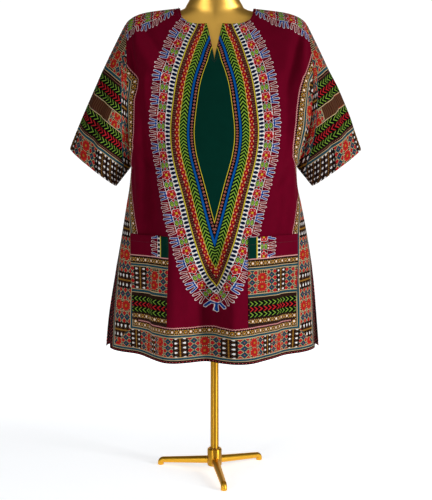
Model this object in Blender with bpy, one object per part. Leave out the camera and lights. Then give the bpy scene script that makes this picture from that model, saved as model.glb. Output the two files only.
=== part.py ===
"""A dashiki tunic resting on a limbless dress form with a three-legged stand.

Metres, +Z up. The front faces -Y and left is -X. The stand's pole is the building axis; the last
step moves everything so that the middle of the base is the origin.

The cloth is worked out from its cut. A row is a level line across a panel, from its centre line to
its side edge; a column keeps its distance from the centre line along the cloth, so that the grain
hangs straight down. Panels and sleeves share the points of their seams. Every piece of cloth is then
a wall of even thickness, mitred at its seams and held back by half of the seam gap.
"""

import math

import bpy
import numpy as np

# Cloth
CLOTH_WALL = 0.002
SEAM_GAP = 0.0003

# Heights of the garment
HEM_SIDE_Z = 0.352
HEM_MIDDLE_Z = 0.341
VENT_TOP_Z = 0.590
UNDERARM_Z = 0.842
SHOULDER_TOP_Z = 1.269  # where the two shoulder lines would meet above the neck

# The body below the arms: half widths at the two sides, depths in front and behind, and how square
# the level section is in front and behind (2 is an ellipse)
BODY = {
    "z": (0.335, 0.440, 0.545, 0.655, 0.741, 0.790, 0.842),
    "left": (0.299, 0.288, 0.2706, 0.2504, 0.236, 0.2275, 0.2225),
    "right": (0.287, 0.278, 0.2677, 0.2503, 0.2332, 0.2225, 0.2190),
    "front": (0.168, 0.164, 0.158, 0.150, 0.145, 0.142, 0.140),
    "back": (0.150, 0.142, 0.132, 0.122, 0.116, 0.113, 0.112),
    "front_square": (1.55, 1.75, 2.0, 2.3, 2.4, 2.5, 2.5),
    "back_square": (2.1, 2.1, 2.2, 2.3, 2.4, 2.5, 2.5),
}
SIDE_Y = 0.005  # the side seams and shoulder seams lie a little behind the pole's axis
VENT_FRONT_IN = 0.012  # below the vent the front's edge is narrower than the back's
VENT_FRONT_Y = 0.014  # and hangs forward
VENT_BACK_Y = 0.006

# Armholes: how far out the seam lies at each height
ARMHOLE = {
    "z": (0.842, 0.900, 0.960, 1.020, 1.130, 1.225),
    "left": (0.2225, 0.2240, 0.2265, 0.2270, 0.2285, 0.2331),
    "right": (0.2190, 0.2350, 0.2500, 0.2550, 0.2530, 0.2411),
}
ARMHOLE_DEPTH = {"front": 0.076, "back": 0.072}
ARMHOLE_SQUARE = 2.1

# Shoulder line: a gentle slope, then a round end
SHOULDER_SLOPE = 0.11
SHOULDER_TIP_DROP = 0.023
SHOULDER_TIP_POWER = 10
CHEST_SQUARE = {"front": 1.8, "back": 2.6}  # shape of the centre line's curve up to the shoulder

# Neck
NECK_HALF = {"left": 0.088, "right": 0.099}
NECK_DROP = {"front": 0.120, "back": 0.055}  # share of the height from underarm to shoulder
NECK_SQUARE = 2.6
SLIT_TOP_HALF = 0.021
SLIT_FOOT = 0.690  # the slit's foot, as a share of the rows from underarm to shoulder

# Patch pockets: along the cloth from the centre line, and heights
POCKET = {"left": (0.118, 0.243), "right": (0.086, 0.238)}
POCKET_BOTTOM_Z = 0.446
POCKET_TOP_Z = 0.671

# Largest folds: where they lie along the cloth from the centre line at the hem and at their upper
# end, half width, how far they stand out (or in, below zero), and between which heights
FRONT_FOLDS = {
    "at_low": (-0.118, -0.026, 0.082, -0.235, 0.215, -0.160),
    "at_high": (-0.075, -0.012, 0.055, -0.170, 0.170, -0.130),
    "width": (0.046, 0.040, 0.046, 0.046, 0.046, 0.030),
    "out": (0.027, -0.032, 0.025, -0.020, -0.018, -0.006),
    "z_low": (0.330, 0.330, 0.330, 0.330, 0.330, 0.640),
    "z_high": (0.760, 0.720, 0.780, 0.860, 0.860, 1.120),
}
BACK_FOLDS = {
    "at_low": (-0.170, -0.085, 0.010, 0.095, 0.185),
    "at_high": (-0.120, -0.050, 0.000, 0.060, 0.130),
    "width": (0.042, 0.040, 0.046, 0.038, 0.044),
    "out": (0.016, -0.018, 0.019, -0.016, 0.015),
    "z_low": (0.330, 0.330, 0.330, 0.330, 0.330),
    "z_high": (0.800, 0.880, 0.820, 0.900, 0.780),
}
FOLDS = {"front": FRONT_FOLDS, "back": BACK_FOLDS}

# Sleeves: the cuff's upper and lower corners seen from the front, and its half depth
CUFF = {
    "left": {"top": (-0.3863, 0.8908), "bottom": (-0.2629, 0.7908)},
    "right": {"top": (0.3919, 0.8892), "bottom": (0.2610, 0.7910)},
}
CUFF_HALF_DEPTH = 0.062
SLEEVE_ARCH = 0.006  # the upper line arches out by this
SLEEVE_PUFF = 0.014  # the front and back stand out between armhole and cuff

# Dress form: level sections
FORM = {
    "z": (0.470, 0.500, 0.560, 0.640, 0.740, 0.840, 0.920, 1.000, 1.060, 1.110, 1.160, 1.195,
          1.220, 1.236, 1.247, 1.256, 1.266, 1.279, 1.300, 1.345),
    "half": (0.135, 0.150, 0.160, 0.163, 0.148, 0.134, 0.148, 0.164, 0.182, 0.197, 0.204, 0.203,
             0.192, 0.163, 0.114, 0.082, 0.074, 0.0665, 0.0585, 0.0570),
    "front": (0.090, 0.100, 0.108, 0.110, 0.098, 0.094, 0.106, 0.108, 0.101, 0.089, 0.073, 0.060,
              0.050, 0.045, 0.042, 0.043, 0.047, 0.048, 0.050, 0.052),
    "back": (0.082, 0.094, 0.100, 0.100, 0.086, 0.082, 0.090, 0.093, 0.091, 0.084, 0.074, 0.064,
             0.054, 0.046, 0.041, 0.044, 0.047, 0.049, 0.051, 0.053),
    "square": (2.2, 2.3, 2.3, 2.3, 2.3, 2.3, 2.3, 2.4, 2.3, 2.1, 1.9, 1.65,
               1.4, 1.25, 1.2, 1.4, 1.7, 1.9, 2.0, 2.0),
}

# Stand
POLE_RADIUS = 0.0113
HUB_RADIUS = 0.0198
HUB_BOTTOM_Z = 0.017
HUB_TOP_Z = 0.066
HUB_CHAMFER = 0.003
LEG_REACH = 0.171
LEG_TURN = {"leg_front": 8.8, "leg_right": 128.8, "leg_left": -111.2}  # degrees from -Y towards +X
LEG_HUB_Z = 0.031
LEG_END_Z = 0.0152
LEG_RADIUS = {"hub": 0.0108, "end": 0.0084}
FOOT_BEND = 0.010

# Grids
NECK_COLUMNS = 5
POCKET_COLUMNS = 4
SIDE_COLUMNS = 4
LOW_ROWS = (3, 3, 2, 4)  # hem to pocket, to the vents' top, to the pocket's top, to the underarm
HIGH_ROWS = 10
SLEEVE_RINGS = 9
FORM_SIDES = 28
LINE_POINTS = 160
RIM_ORDER = np.array([0.21, 0.50, 0.84])

SIGN = {"left": -1.0, "right": 1.0, "front": -1.0, "back": 1.0}


def eased(table, column, at):
    """A smooth curve through one column of a table, read at the height `at`."""
    x = np.array(table["z"], float)
    y = np.array(table[column], float)
    slope = np.gradient(y, x)
    at = np.clip(at, x[0], x[-1])
    k = np.clip(np.searchsorted(x, at) - 1, 0, len(x) - 2)
    step = x[k + 1] - x[k]
    t = (at - x[k]) / step
    start = y[k] * (1 + 2 * t) * (1 - t) ** 2 + slope[k] * step * t * (1 - t) ** 2
    end = y[k + 1] * t * t * (3 - 2 * t) + slope[k + 1] * step * t * t * (t - 1)
    return start + end


def smooth_step(low, high, value):
    t = np.clip((value - low) / (high - low), 0, 1)
    return t * t * (3 - 2 * t)


def fold_height(face, along, z):
    """How far the folds of a panel stand out at a place along the cloth and a height."""
    folds = FOLDS[face]
    total = np.zeros_like(along)
    for k in range(len(folds["out"])):
        rise = np.clip((z - folds["z_low"][k]) / (folds["z_high"][k] - folds["z_low"][k]), 0, 1)
        middle = folds["at_low"][k] + (folds["at_high"][k] - folds["at_low"][k]) * rise
        fade = 1 - smooth_step(0.35, 1.0, rise)
        fade *= smooth_step(-0.10, 0.0, z - folds["z_low"][k])
        total += folds["out"][k] * fade * np.exp(-(((along - middle) / folds["width"][k]) ** 2))
    return total


def shoulder_tip(side):
    x = eased(ARMHOLE, side, ARMHOLE["z"][-1])
    return x, SHOULDER_TOP_Z - SHOULDER_SLOPE * x - SHOULDER_TIP_DROP


def armhole_point(face, side, rise):
    """A point of the armhole seam; rise goes from 0 at the underarm to 1 at the shoulder tip."""
    tip_z = shoulder_tip(side)[1]
    z = UNDERARM_Z + (tip_z - UNDERARM_Z) * rise
    across = abs(2 * rise - 1)
    depth = ARMHOLE_DEPTH[face] * (1 - across**ARMHOLE_SQUARE) ** (1 / ARMHOLE_SQUARE)
    return eased(ARMHOLE, side, z), SIDE_Y + SIGN[face] * depth, z


def row_line(face, side, level):
    """A row from the centre line to the side edge: points on the +X side, and how far along the
    cloth each lies, leaving out the folds.

    level is 0 at the hem, 1 at the underarm and 2 at the shoulder. A low row is a quarter of a
    super-ellipse. A high row blends from that to a line that drops to the armhole by a power of
    the distance across, and its height follows the shoulder line.
    """
    across = np.sin(np.linspace(0, math.pi / 2, LINE_POINTS))
    if level <= 1:
        edge_z = HEM_SIDE_Z + (UNDERARM_Z - HEM_SIDE_Z) * level
        middle_z = HEM_MIDDLE_Z + (UNDERARM_Z - HEM_MIDDLE_Z) * level
        open_vent = np.clip((VENT_TOP_Z - edge_z) / (VENT_TOP_Z - HEM_SIDE_Z), 0, 1)
        edge_x = eased(BODY, side, edge_z)
        edge_y = SIDE_Y + VENT_BACK_Y * open_vent
        if face == "front":
            edge_x -= VENT_FRONT_IN * open_vent
            edge_y = SIDE_Y - VENT_FRONT_Y * open_vent
        middle_y = SIGN[face] * eased(BODY, face, edge_z)
        square = eased(BODY, face + "_square", edge_z)
        drop = 1 - (1 - across**square) ** (1 / square)
        z = middle_z + (edge_z - middle_z) * across**2
        y = middle_y + (edge_y - middle_y) * drop
    else:
        rise = level - 1
        edge_x, edge_y, edge_z = armhole_point(face, side, rise)
        middle_z = UNDERARM_Z + (SHOULDER_TOP_Z - UNDERARM_Z) * rise
        power = CHEST_SQUARE[face]
        curve = max(1 - rise**power, 0) ** (1 / power)
        middle_y = SIDE_Y + (SIGN[face] * eased(BODY, face, UNDERARM_Z) - SIDE_Y) * curve
        square = BODY[face + "_square"][-1]
        round_edge = 1 - (1 - across**square) ** (1 / square)
        blend = smooth_step(0, 0.4, rise)
        tuck = 5 + 30 * (1 - blend) ** 2
        low_y = middle_y + (SIDE_Y - middle_y) * round_edge + (edge_y - SIDE_Y) * across**tuck
        high_y = middle_y + (edge_y - middle_y) * across ** (3.2 - 1.2 * rise)
        tip_x = shoulder_tip(side)[0]
        slope = SHOULDER_SLOPE * tip_x
        shoulder = slope * across + SHOULDER_TIP_DROP * across**SHOULDER_TIP_POWER
        shoulder /= slope + SHOULDER_TIP_DROP
        lift = across**2 * (1 - rise) + shoulder * rise
        z = middle_z + (edge_z - middle_z) * lift
        y = low_y * (1 - blend) + high_y * blend
    x = edge_x * across

    steps = np.sqrt(np.diff(x) ** 2 + np.diff(y) ** 2 + np.diff(z) ** 2)
    along = np.concatenate([[0], np.cumsum(steps)])
    out = fold_height(face, SIGN[side] * along, z)
    out *= 1 - smooth_step(0.82, 1.0, along / along[-1])
    if level > 1:
        out *= 1 - smooth_step(0.5, 0.9, level - 1)
    run = np.hypot(np.gradient(x), np.gradient(y))
    normal_x = -SIGN[face] * np.gradient(y) / run
    normal_y = SIGN[face] * np.gradient(x) / run
    normal_x[0], normal_y[0] = 0, SIGN[face]
    return np.stack([x + out * normal_x, y + out * normal_y, z], 1), along


def point_on(line, along, share):
    """The point at a share of a row's length, from 0 to 1."""
    return np.array([np.interp(share * along[-1], along, line[:, k]) for k in range(3)])


def row_levels():
    """Levels of all rows: one on each pocket edge, one at the vents' top, one at the slit's foot,
    and close together at the armhole's two ends."""
    spans = (HEM_SIDE_Z, POCKET_BOTTOM_Z, VENT_TOP_Z, POCKET_TOP_Z, UNDERARM_Z)
    low = []
    for k, rows in enumerate(LOW_ROWS):
        heights = np.linspace(spans[k], spans[k + 1], rows + 1)[:-1]
        low += [(z - HEM_SIDE_Z) / (UNDERARM_Z - HEM_SIDE_Z) for z in heights]
    high = (1 - np.cos(np.linspace(0, math.pi, HIGH_ROWS + 1))) / 2
    high[np.abs(high - SLIT_FOOT).argmin()] = SLIT_FOOT
    return low + list(1 + high)


def column_shares(side, level, length):
    """Each column's share of a row, from 0 at its start to 1 at the side edge."""
    inner, outer = (p / length for p in POCKET[side])
    tip_x = shoulder_tip(side)[0]
    pocket_level = (POCKET_TOP_Z - HEM_SIDE_Z) / (UNDERARM_Z - HEM_SIDE_Z)
    climb = smooth_step(pocket_level, 1.8, level)
    neck = NECK_HALF[side] / tip_x
    inner += (neck - inner) * climb
    outer += ((1 + neck) / 2 - outer) * climb
    turn = np.linspace(0, 1, NECK_COLUMNS + 1)
    first = inner * (turn * (1 - climb) + np.sin(turn * math.pi / 2) * climb)
    second = np.linspace(inner, outer, POCKET_COLUMNS + 1)[1:]
    third = np.linspace(outer, 1, SIDE_COLUMNS + 1)[1:]
    return np.concatenate([first, second, third])


def half_panel(face, side):
    """Rows by columns of points for one half of a panel, column 0 at the centre line."""
    rows = []
    for level in row_levels():
        shares = column_shares(side, level, row_line(face, side, level)[1][-1])
        top = column_shares(side, 2.0, 1.0)
        row = []
        for i, share in enumerate(shares):
            here = level
            if level > 1:
                reach = min(top[i] / top[NECK_COLUMNS], 1)
                neck = 1 - NECK_DROP[face] * (1 - reach**NECK_SQUARE) ** (1 / NECK_SQUARE)
                rise = level - 1
                here = 1 + rise * (1 - (1 - neck) * rise**2)
            line, along = row_line(face, side, here)
            if face == "front" and i < NECK_COLUMNS:
                half = SLIT_TOP_HALF * np.clip((level - 1 - SLIT_FOOT) / (1 - SLIT_FOOT), 0, 1)
                start = half / shoulder_tip(side)[0]
                share = start + share * (1 - start / shares[NECK_COLUMNS])
            row.append(point_on(line, along, share))
        rows.append(row)
    points = np.array(rows)
    points[:, :, 0] *= SIGN[side]
    return points


class Sheet:
    """Points and triangles of one piece of cloth, its faces looking outwards."""

    def __init__(self, name):
        self.name = name
        self.points = []
        self.triangles = []

    def add_grid(self, numbers, flip):
        """Two triangles for each cell of a grid of point numbers."""
        for j in range(numbers.shape[0] - 1):
            for i in range(numbers.shape[1] - 1):
                a, b = numbers[j, i], numbers[j, i + 1]
                c, d = numbers[j + 1, i + 1], numbers[j + 1, i]
                pair = ((a, b, c), (a, c, d))
                self.triangles += [t[::-1] for t in pair] if flip else list(pair)


def panel_sheet(face):
    """A whole panel: two halves joined along the centre line, apart above the slit's foot."""
    sheet = Sheet(face)
    left, right = half_panel(face, "left"), half_panel(face, "right")
    rows, columns = left.shape[:2]
    sheet.points = np.concatenate([left.reshape(-1, 3), right.reshape(-1, 3)])
    left_numbers = np.arange(rows * columns).reshape(rows, columns)
    right_numbers = left_numbers + rows * columns
    levels = np.array(row_levels())
    joined = levels <= (1 + SLIT_FOOT if face == "front" else 2)
    right_numbers[joined, 0] = left_numbers[joined, 0]
    sheet.add_grid(left_numbers[:, ::-1], flip=face == "back")
    sheet.add_grid(right_numbers, flip=face == "back")
    sheet.halves = {"left": left_numbers, "right": right_numbers}
    return sheet


def armhole_ring(side, panels):
    """The armhole seam's points: from the shoulder tip down the front and up the back."""
    first = len(row_levels()) - HIGH_ROWS - 1
    edge = {face: panels[face].points[panels[face].halves[side][first:, -1]] for face in panels}
    return np.concatenate([edge["front"][::-1], edge["back"][1:-1]])


def cuff_ring(side, count):
    """The cuff: an ellipse round the line between its two corners."""
    corner = {k: np.array([v[0], SIDE_Y, v[1]]) for k, v in CUFF[side].items()}
    centre = (corner["top"] + corner["bottom"]) / 2
    reach = (corner["top"] - corner["bottom"]) / 2
    turn = np.arange(count) * 2 * math.pi / count
    ring = centre + np.cos(turn)[:, None] * reach
    ring[:, 1] -= np.sin(turn) * CUFF_HALF_DEPTH
    return ring


def sleeve_sheet(side, panels):
    """A tube from the armhole seam to the cuff, arched along its top and full at front and back."""
    start = armhole_ring(side, panels)
    count = len(start)
    end = cuff_ring(side, count)
    turn = np.arange(count) * 2 * math.pi / count
    rings = []
    for v in np.linspace(0, 1, SLEEVE_RINGS + 1):
        ring = start + (end - start) * v
        full = math.sin(math.pi * v) ** 0.8
        ring[:, 0] += SIGN[side] * SLEEVE_ARCH * full * np.clip(np.cos(turn), 0, 1)
        ring[:, 1] -= SLEEVE_PUFF * full * np.sin(turn) * np.abs(np.sin(turn))
        rings.append(ring)
    sheet = Sheet("sleeve_" + side)
    sheet.points = np.concatenate(rings)
    numbers = np.arange(len(sheet.points)).reshape(SLEEVE_RINGS + 1, count)
    sheet.add_grid(np.hstack([numbers, numbers[:, :1]]), flip=side == "left")
    return sheet


def sew(sheets):
    """Give every sheet its mitred wall directions, and hold its seams back by half of the gap."""
    for sheet in sheets:
        p = sheet.points
        t = np.array(sheet.triangles)
        face = np.cross(p[t[:, 1]] - p[t[:, 0]], p[t[:, 2]] - p[t[:, 0]])
        normal = np.zeros_like(p)
        for k in range(3):
            np.add.at(normal, t[:, k], face)
        sheet.normals = normal / np.maximum(np.linalg.norm(normal, axis=1), 1e-12)[:, None]
        sheet.lean = np.ones(len(p))
        sheet.seam = np.zeros(len(p), bool)
    shared = {}
    for sheet in sheets:
        for k in sorted({k for triangle in sheet.triangles for k in triangle}):
            shared.setdefault(tuple(np.round(sheet.points[k], 6)), []).append((sheet, k))
    for members in shared.values():
        if len({sheet.name for sheet, _ in members}) < 2:
            continue
        facing = np.array([sheet.normals[k] for sheet, k in members])
        first, second = np.unravel_index((facing @ facing.T).argmin(), (len(facing), len(facing)))
        mean = facing[first] + facing[second]  # halves the sharpest fold between any two pieces
        mean /= np.linalg.norm(mean)
        for sheet, k in members:
            sheet.lean[k] = max(sheet.normals[k] @ mean, 0.25)
            sheet.normals[k] = mean
            sheet.seam[k] = True
    for sheet in sheets:
        hold_back(sheet)


def hold_back(sheet):
    """Move each seam point into its own piece, square to the seam edges that meet at it.

    A sharp fold at the seam needs a longer way for the same gap.
    """
    edges = {}
    for t in sheet.triangles:
        for k in range(3):
            edges[(t[k], t[(k + 1) % 3])] = t
    ways = {}
    for (a, b), triangle in edges.items():
        if (b, a) in edges or not (sheet.seam[a] and sheet.seam[b]):
            continue
        along = sheet.points[b] - sheet.points[a]
        along /= np.linalg.norm(along)
        inward = sheet.points[list(triangle)].mean(axis=0) - sheet.points[a]
        inward -= along * (inward @ along)
        inward /= np.linalg.norm(inward)
        ways.setdefault(a, []).append(inward)
        ways.setdefault(b, []).append(inward)
    moved = sheet.points.copy()
    for k, inward in ways.items():
        way = inward[0] if len(inward) == 1 else (inward[0] + inward[1]) / (1 + inward[0] @ inward[1])
        moved[k] += way * SEAM_GAP * 0.6 / sheet.lean[k]
    sheet.points = moved


def wall_mesh(name, outer, inner, triangles):
    """A closed wall: the outer sheet, the inner one turned over, and a rim round its open edges.

    Two pieces at a seam split their rims along the same diagonals, so that twisted rims stay apart.
    """
    count = len(outer)
    faces = [tuple(t) for t in triangles]
    faces += [tuple(int(k) + count for k in t[::-1]) for t in triangles]
    edges = {}
    for t in triangles:
        for k in range(3):
            edges[(int(t[k]), int(t[(k + 1) % 3]))] = True
    for a, b in edges:
        if (b, a) in edges:
            continue
        if outer[a] @ RIM_ORDER < outer[b] @ RIM_ORDER:
            faces += [(b, a, b + count), (a, a + count, b + count)]
        else:
            faces += [(b, a, a + count), (b, a + count, b + count)]
    points = np.concatenate([outer, inner])
    used = sorted({k for face in faces for k in face})
    number = {k: n for n, k in enumerate(used)}
    mesh = bpy.data.meshes.new(name)
    mesh.from_pydata(points[used].tolist(), [], [[number[k] for k in face] for face in faces])
    mesh.update()
    return mesh


def cloth_wall(sheet):
    mitre = 1 / np.maximum(sheet.lean, 0.6)
    inner = sheet.points - sheet.normals * (CLOTH_WALL * mitre)[:, None]
    return wall_mesh(sheet.name, sheet.points, inner, sheet.triangles)


def pocket_wall(side, front):
    """A patch of the front panel's own points, moved out by the gap and by the gap and a wall."""
    first = LOW_ROWS[0]
    rows = slice(first, first + LOW_ROWS[1] + LOW_ROWS[2] + 1)
    columns = slice(NECK_COLUMNS, NECK_COLUMNS + POCKET_COLUMNS + 1)
    numbers = front.halves[side][rows, columns]
    patch = Sheet("pocket_" + side)
    patch.add_grid(numbers[:, ::-1] if side == "left" else numbers, flip=False)
    inner = front.points + front.normals * SEAM_GAP
    outer = front.points + front.normals * (SEAM_GAP + CLOTH_WALL)
    return wall_mesh(patch.name, outer, inner, patch.triangles)


def closed_tube(name, rings):
    """A closed body through rings of points, with a fan of triangles over each end."""
    rings = [np.asarray(ring, float) for ring in rings]
    count = len(rings[0])
    points = np.concatenate(rings + [rings[0].mean(axis=0)[None], rings[-1].mean(axis=0)[None]])
    low, high = len(points) - 2, len(points) - 1
    last = (len(rings) - 1) * count
    faces = []
    for j in range(len(rings) - 1):
        for i in range(count):
            a, b = j * count + i, j * count + (i + 1) % count
            faces += [(a, b, b + count), (a, b + count, a + count)]
    for i in range(count):
        faces.append((low, (i + 1) % count, i))
        faces.append((high, last + i, last + (i + 1) % count))
    mesh = bpy.data.meshes.new(name)
    mesh.from_pydata(points.tolist(), [], faces)
    mesh.update()
    return mesh


def circle(radius, z, sides):
    turn = np.arange(sides) * 2 * math.pi / sides
    return np.stack([radius * np.cos(turn), radius * np.sin(turn), np.full(sides, z)], 1)


def form_mesh():
    """The torso: a super-ellipse at each level, deeper or shallower in front than behind."""
    turn = np.arange(FORM_SIDES) * 2 * math.pi / FORM_SIDES
    rings = []
    for k, z in enumerate(FORM["z"]):
        power = 2 / FORM["square"][k]
        x = FORM["half"][k] * np.sign(np.cos(turn)) * np.abs(np.cos(turn)) ** power
        depth = np.where(np.sin(turn) < 0, FORM["front"][k], FORM["back"][k])
        y = depth * np.sign(np.sin(turn)) * np.abs(np.sin(turn)) ** power
        rings.append(np.stack([x, SIDE_Y + y, np.full(FORM_SIDES, z)], 1))
    return closed_tube("form_torso", rings)


def pole_mesh():
    low, high = HUB_TOP_Z + SEAM_GAP, FORM["z"][0] - SEAM_GAP
    return closed_tube("pole", [circle(POLE_RADIUS, low, 24), circle(POLE_RADIUS, high, 24)])


def hub_mesh():
    steps = ((HUB_RADIUS - HUB_CHAMFER / 2, HUB_BOTTOM_Z), (HUB_RADIUS, HUB_BOTTOM_Z + HUB_CHAMFER / 2),
             (HUB_RADIUS, HUB_TOP_Z - HUB_CHAMFER), (HUB_RADIUS - HUB_CHAMFER, HUB_TOP_Z))
    return closed_tube("hub", [circle(radius, z, 32) for radius, z in steps])


def leg_mesh(name):
    """A round bar from the hub's wall outwards and down, bent at its end to stand on the floor."""
    sides = 14
    turn = np.arange(sides) * 2 * math.pi / sides
    straight = LEG_REACH - LEG_RADIUS["end"] - FOOT_BEND
    fall = math.atan2(LEG_HUB_Z - LEG_END_Z, straight - HUB_RADIUS)
    stations = [(HUB_RADIUS + (straight - HUB_RADIUS) * t, LEG_HUB_Z - (LEG_HUB_Z - LEG_END_Z) * t, fall)
                for t in (0, 0.33, 0.66, 1)]
    rings = []
    for k, (reach, z, lean) in enumerate(stations):
        share = k / (len(stations) - 1)
        radius = LEG_RADIUS["hub"] + (LEG_RADIUS["end"] - LEG_RADIUS["hub"]) * share
        side, up = radius * np.cos(turn), radius * np.sin(turn)
        out = reach + up * math.sin(lean)
        if k == 0:
            for inset in (0.35, 1.0):
                wall = np.sqrt((HUB_RADIUS + 2 * SEAM_GAP) ** 2 - (inset * side) ** 2)
                rings.append(np.stack([wall, inset * side, z + inset * up * math.cos(lean)], 1))
        else:
            rings.append(np.stack([out, side, z + up * math.cos(lean)], 1))
    radius = LEG_RADIUS["end"]
    foot = LEG_REACH - radius
    for degrees in (35, 62, 90):
        bend = math.radians(degrees)
        reach = foot - FOOT_BEND + FOOT_BEND * math.sin(bend)
        z = LEG_END_Z - FOOT_BEND * (1 - math.cos(bend))
        side, up = radius * np.cos(turn), radius * np.sin(turn)
        rings.append(np.stack([reach + up * math.sin(bend), side, z + up * math.cos(bend)], 1))
    side, up = radius * np.cos(turn), radius * np.sin(turn)
    rings.append(np.stack([foot + up, side, np.zeros(sides)], 1))
    heading = math.radians(LEG_TURN[name])
    out_way = np.array([math.sin(heading), -math.cos(heading), 0])
    side_way = np.array([math.cos(heading), math.sin(heading), 0])
    placed = []
    for ring in rings:
        placed.append(ring[:, :1] * out_way + ring[:, 1:2] * side_way + ring[:, 2:] * [0, 0, 1])
    return closed_tube(name, placed)


def finish(name, base_color, roughness, metallic):
    material = bpy.data.materials.new(name)
    material.use_nodes = True
    shader = material.node_tree.nodes["Principled BSDF"]
    shader.inputs["Base Color"].default_value = (*base_color, 1)
    shader.inputs["Roughness"].default_value = roughness
    shader.inputs["Metallic"].default_value = metallic
    return material


def add_object(mesh, material, smooth_angle):
    mesh.materials.append(material)
    mesh.shade_smooth()
    mesh.set_sharp_from_angle(angle=math.radians(smooth_angle))
    item = bpy.data.objects.new(mesh.name, mesh)
    bpy.context.scene.collection.objects.link(item)
    return item


def stand_on_origin(items):
    """Move every mesh so that the middle of the whole box's base is the origin."""
    corners = np.concatenate([np.array([v.co[:] for v in item.data.vertices]) for item in items])
    low, high = corners.min(axis=0), corners.max(axis=0)
    shift = np.array([-(low[0] + high[0]) / 2, -(low[1] + high[1]) / 2, -low[2]])
    for item in items:
        for vertex in item.data.vertices:
            vertex.co = [vertex.co[k] + shift[k] for k in range(3)]


def main():
    for item in list(bpy.data.objects):
        bpy.data.objects.remove(item, do_unlink=True)
    cloth_look = {"base_color": (0.16, 0.012, 0.04), "roughness": 0.85, "metallic": 0.0}
    gilt_look = {"base_color": (0.75, 0.47, 0.12), "roughness": 0.25, "metallic": 1.0}

    panels = {face: panel_sheet(face) for face in ("front", "back")}
    sleeves = {side: sleeve_sheet(side, panels) for side in ("left", "right")}
    sew([*panels.values(), *sleeves.values()])
    meshes = [cloth_wall(sheet) for sheet in [*panels.values(), *sleeves.values()]]
    meshes += [pocket_wall(side, panels["front"]) for side in ("left", "right")]
    items = [add_object(mesh, finish(mesh.name, **cloth_look), 50) for mesh in meshes]

    meshes = [form_mesh(), pole_mesh(), hub_mesh()] + [leg_mesh(name) for name in LEG_TURN]
    items += [add_object(mesh, finish(mesh.name, **gilt_look), 40) for mesh in meshes]
    stand_on_origin(items)


main()
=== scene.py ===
import math

import bpy
import numpy as np
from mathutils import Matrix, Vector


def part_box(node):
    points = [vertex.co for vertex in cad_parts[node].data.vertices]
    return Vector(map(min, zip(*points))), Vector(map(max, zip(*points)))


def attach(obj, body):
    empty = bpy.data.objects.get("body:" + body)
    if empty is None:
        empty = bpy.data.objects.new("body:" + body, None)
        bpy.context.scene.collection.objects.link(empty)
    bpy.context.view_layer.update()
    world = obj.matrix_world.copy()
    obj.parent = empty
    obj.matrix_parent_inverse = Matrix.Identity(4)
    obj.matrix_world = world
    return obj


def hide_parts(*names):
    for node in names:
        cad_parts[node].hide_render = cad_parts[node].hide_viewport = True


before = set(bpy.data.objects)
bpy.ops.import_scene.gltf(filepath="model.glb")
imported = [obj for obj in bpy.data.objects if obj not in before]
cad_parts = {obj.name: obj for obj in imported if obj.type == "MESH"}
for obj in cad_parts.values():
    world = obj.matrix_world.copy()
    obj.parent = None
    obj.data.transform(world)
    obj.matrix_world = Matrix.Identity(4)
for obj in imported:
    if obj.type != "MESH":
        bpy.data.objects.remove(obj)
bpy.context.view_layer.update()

# Every shape is worked out round the stand's pole and then moved to where the frame has the pole.
poleLow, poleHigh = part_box("pole")
poleAt = np.array([(poleLow.x + poleHigh.x) / 2, (poleLow.y + poleHigh.y) / 2, 0.0])
# which way each side lies from the pole
sign = {"left": -1.0, "right": 1.0, "front": -1.0, "back": 1.0}


garment = {
    "wall": 0.0010,
    "hemSideZ": 0.352,
    "hemMiddleZ": 0.341,
    "ventTopZ": 0.590,
    "underarmZ": 0.842,
    "shoulderTopZ": 1.269,  # where the two shoulder lines would meet above the neck
    "sideY": 0.005,  # side and shoulder seams lie a little behind the pole
    "ventFrontIn": 0.012,
    "ventFrontY": 0.014,
    "ventBackY": 0.006,
    "armholeDepth": {"front": 0.076, "back": 0.072},
    "armholeSquare": 2.1,
    "shoulderSlope": 0.11,
    "tipDrop": 0.023,
    "tipPower": 10,
    "chestSquare": {"front": 1.8, "back": 2.6},
    "neckHalf": {"left": 0.088, "right": 0.099},
    "neckDrop": {"front": 0.120, "back": 0.055},
    "neckSquare": 2.6,
    "slitTopHalf": 0.021,
    "slitFoot": 0.690,
    "pocket": {"left": (0.118, 0.243), "right": (0.086, 0.238)},
    "pocketBottomZ": 0.446,
    "pocketTopZ": 0.671,
    "columns": (26, 26, 24),  # centre to neck or pocket, across the pocket, to the side
    "lowRows": (23, 35, 20, 41),  # hem, pocket foot, vents' top, pocket top, underarm
    "highRows": 112,
    "columnClimb": 1.8,  # the level at which the pocket's column has reached the neck's corner
    "columnCrowd": 1.25,  # columns stand closer towards the side edge
    "chestBlend": 0.4,  # the share of the armhole over which the body's roundness goes
    "armTuck": (5, 30),
    "shoulderPower": (3.2, 1.2),
    "foldSideFade": (0.82, 1.0),  # the folds fade over these shares of the way out
    "foldRiseFade": (0.5, 0.9),  # and of the way up the armhole
    "denseRows": (150, 220),  # of the table that the cloth is read from: below and above the underarm
    "denseColumns": 260,
    "evenColumns": 401,
}

# Half widths, depths and squareness of the body below the arms, by height.
body = {
    "z": (0.335, 0.440, 0.545, 0.655, 0.741, 0.790, 0.842),
    "left": (0.299, 0.288, 0.2706, 0.2504, 0.236, 0.2275, 0.2225),
    "right": (0.287, 0.278, 0.2677, 0.2503, 0.2332, 0.2225, 0.2190),
    "front": (0.168, 0.164, 0.158, 0.150, 0.145, 0.142, 0.140),
    "back": (0.150, 0.142, 0.132, 0.122, 0.116, 0.113, 0.112),
    "frontSquare": (1.55, 1.75, 2.0, 2.3, 2.4, 2.5, 2.5),
    "backSquare": (2.1, 2.1, 2.2, 2.3, 2.4, 2.5, 2.5),
}

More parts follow.
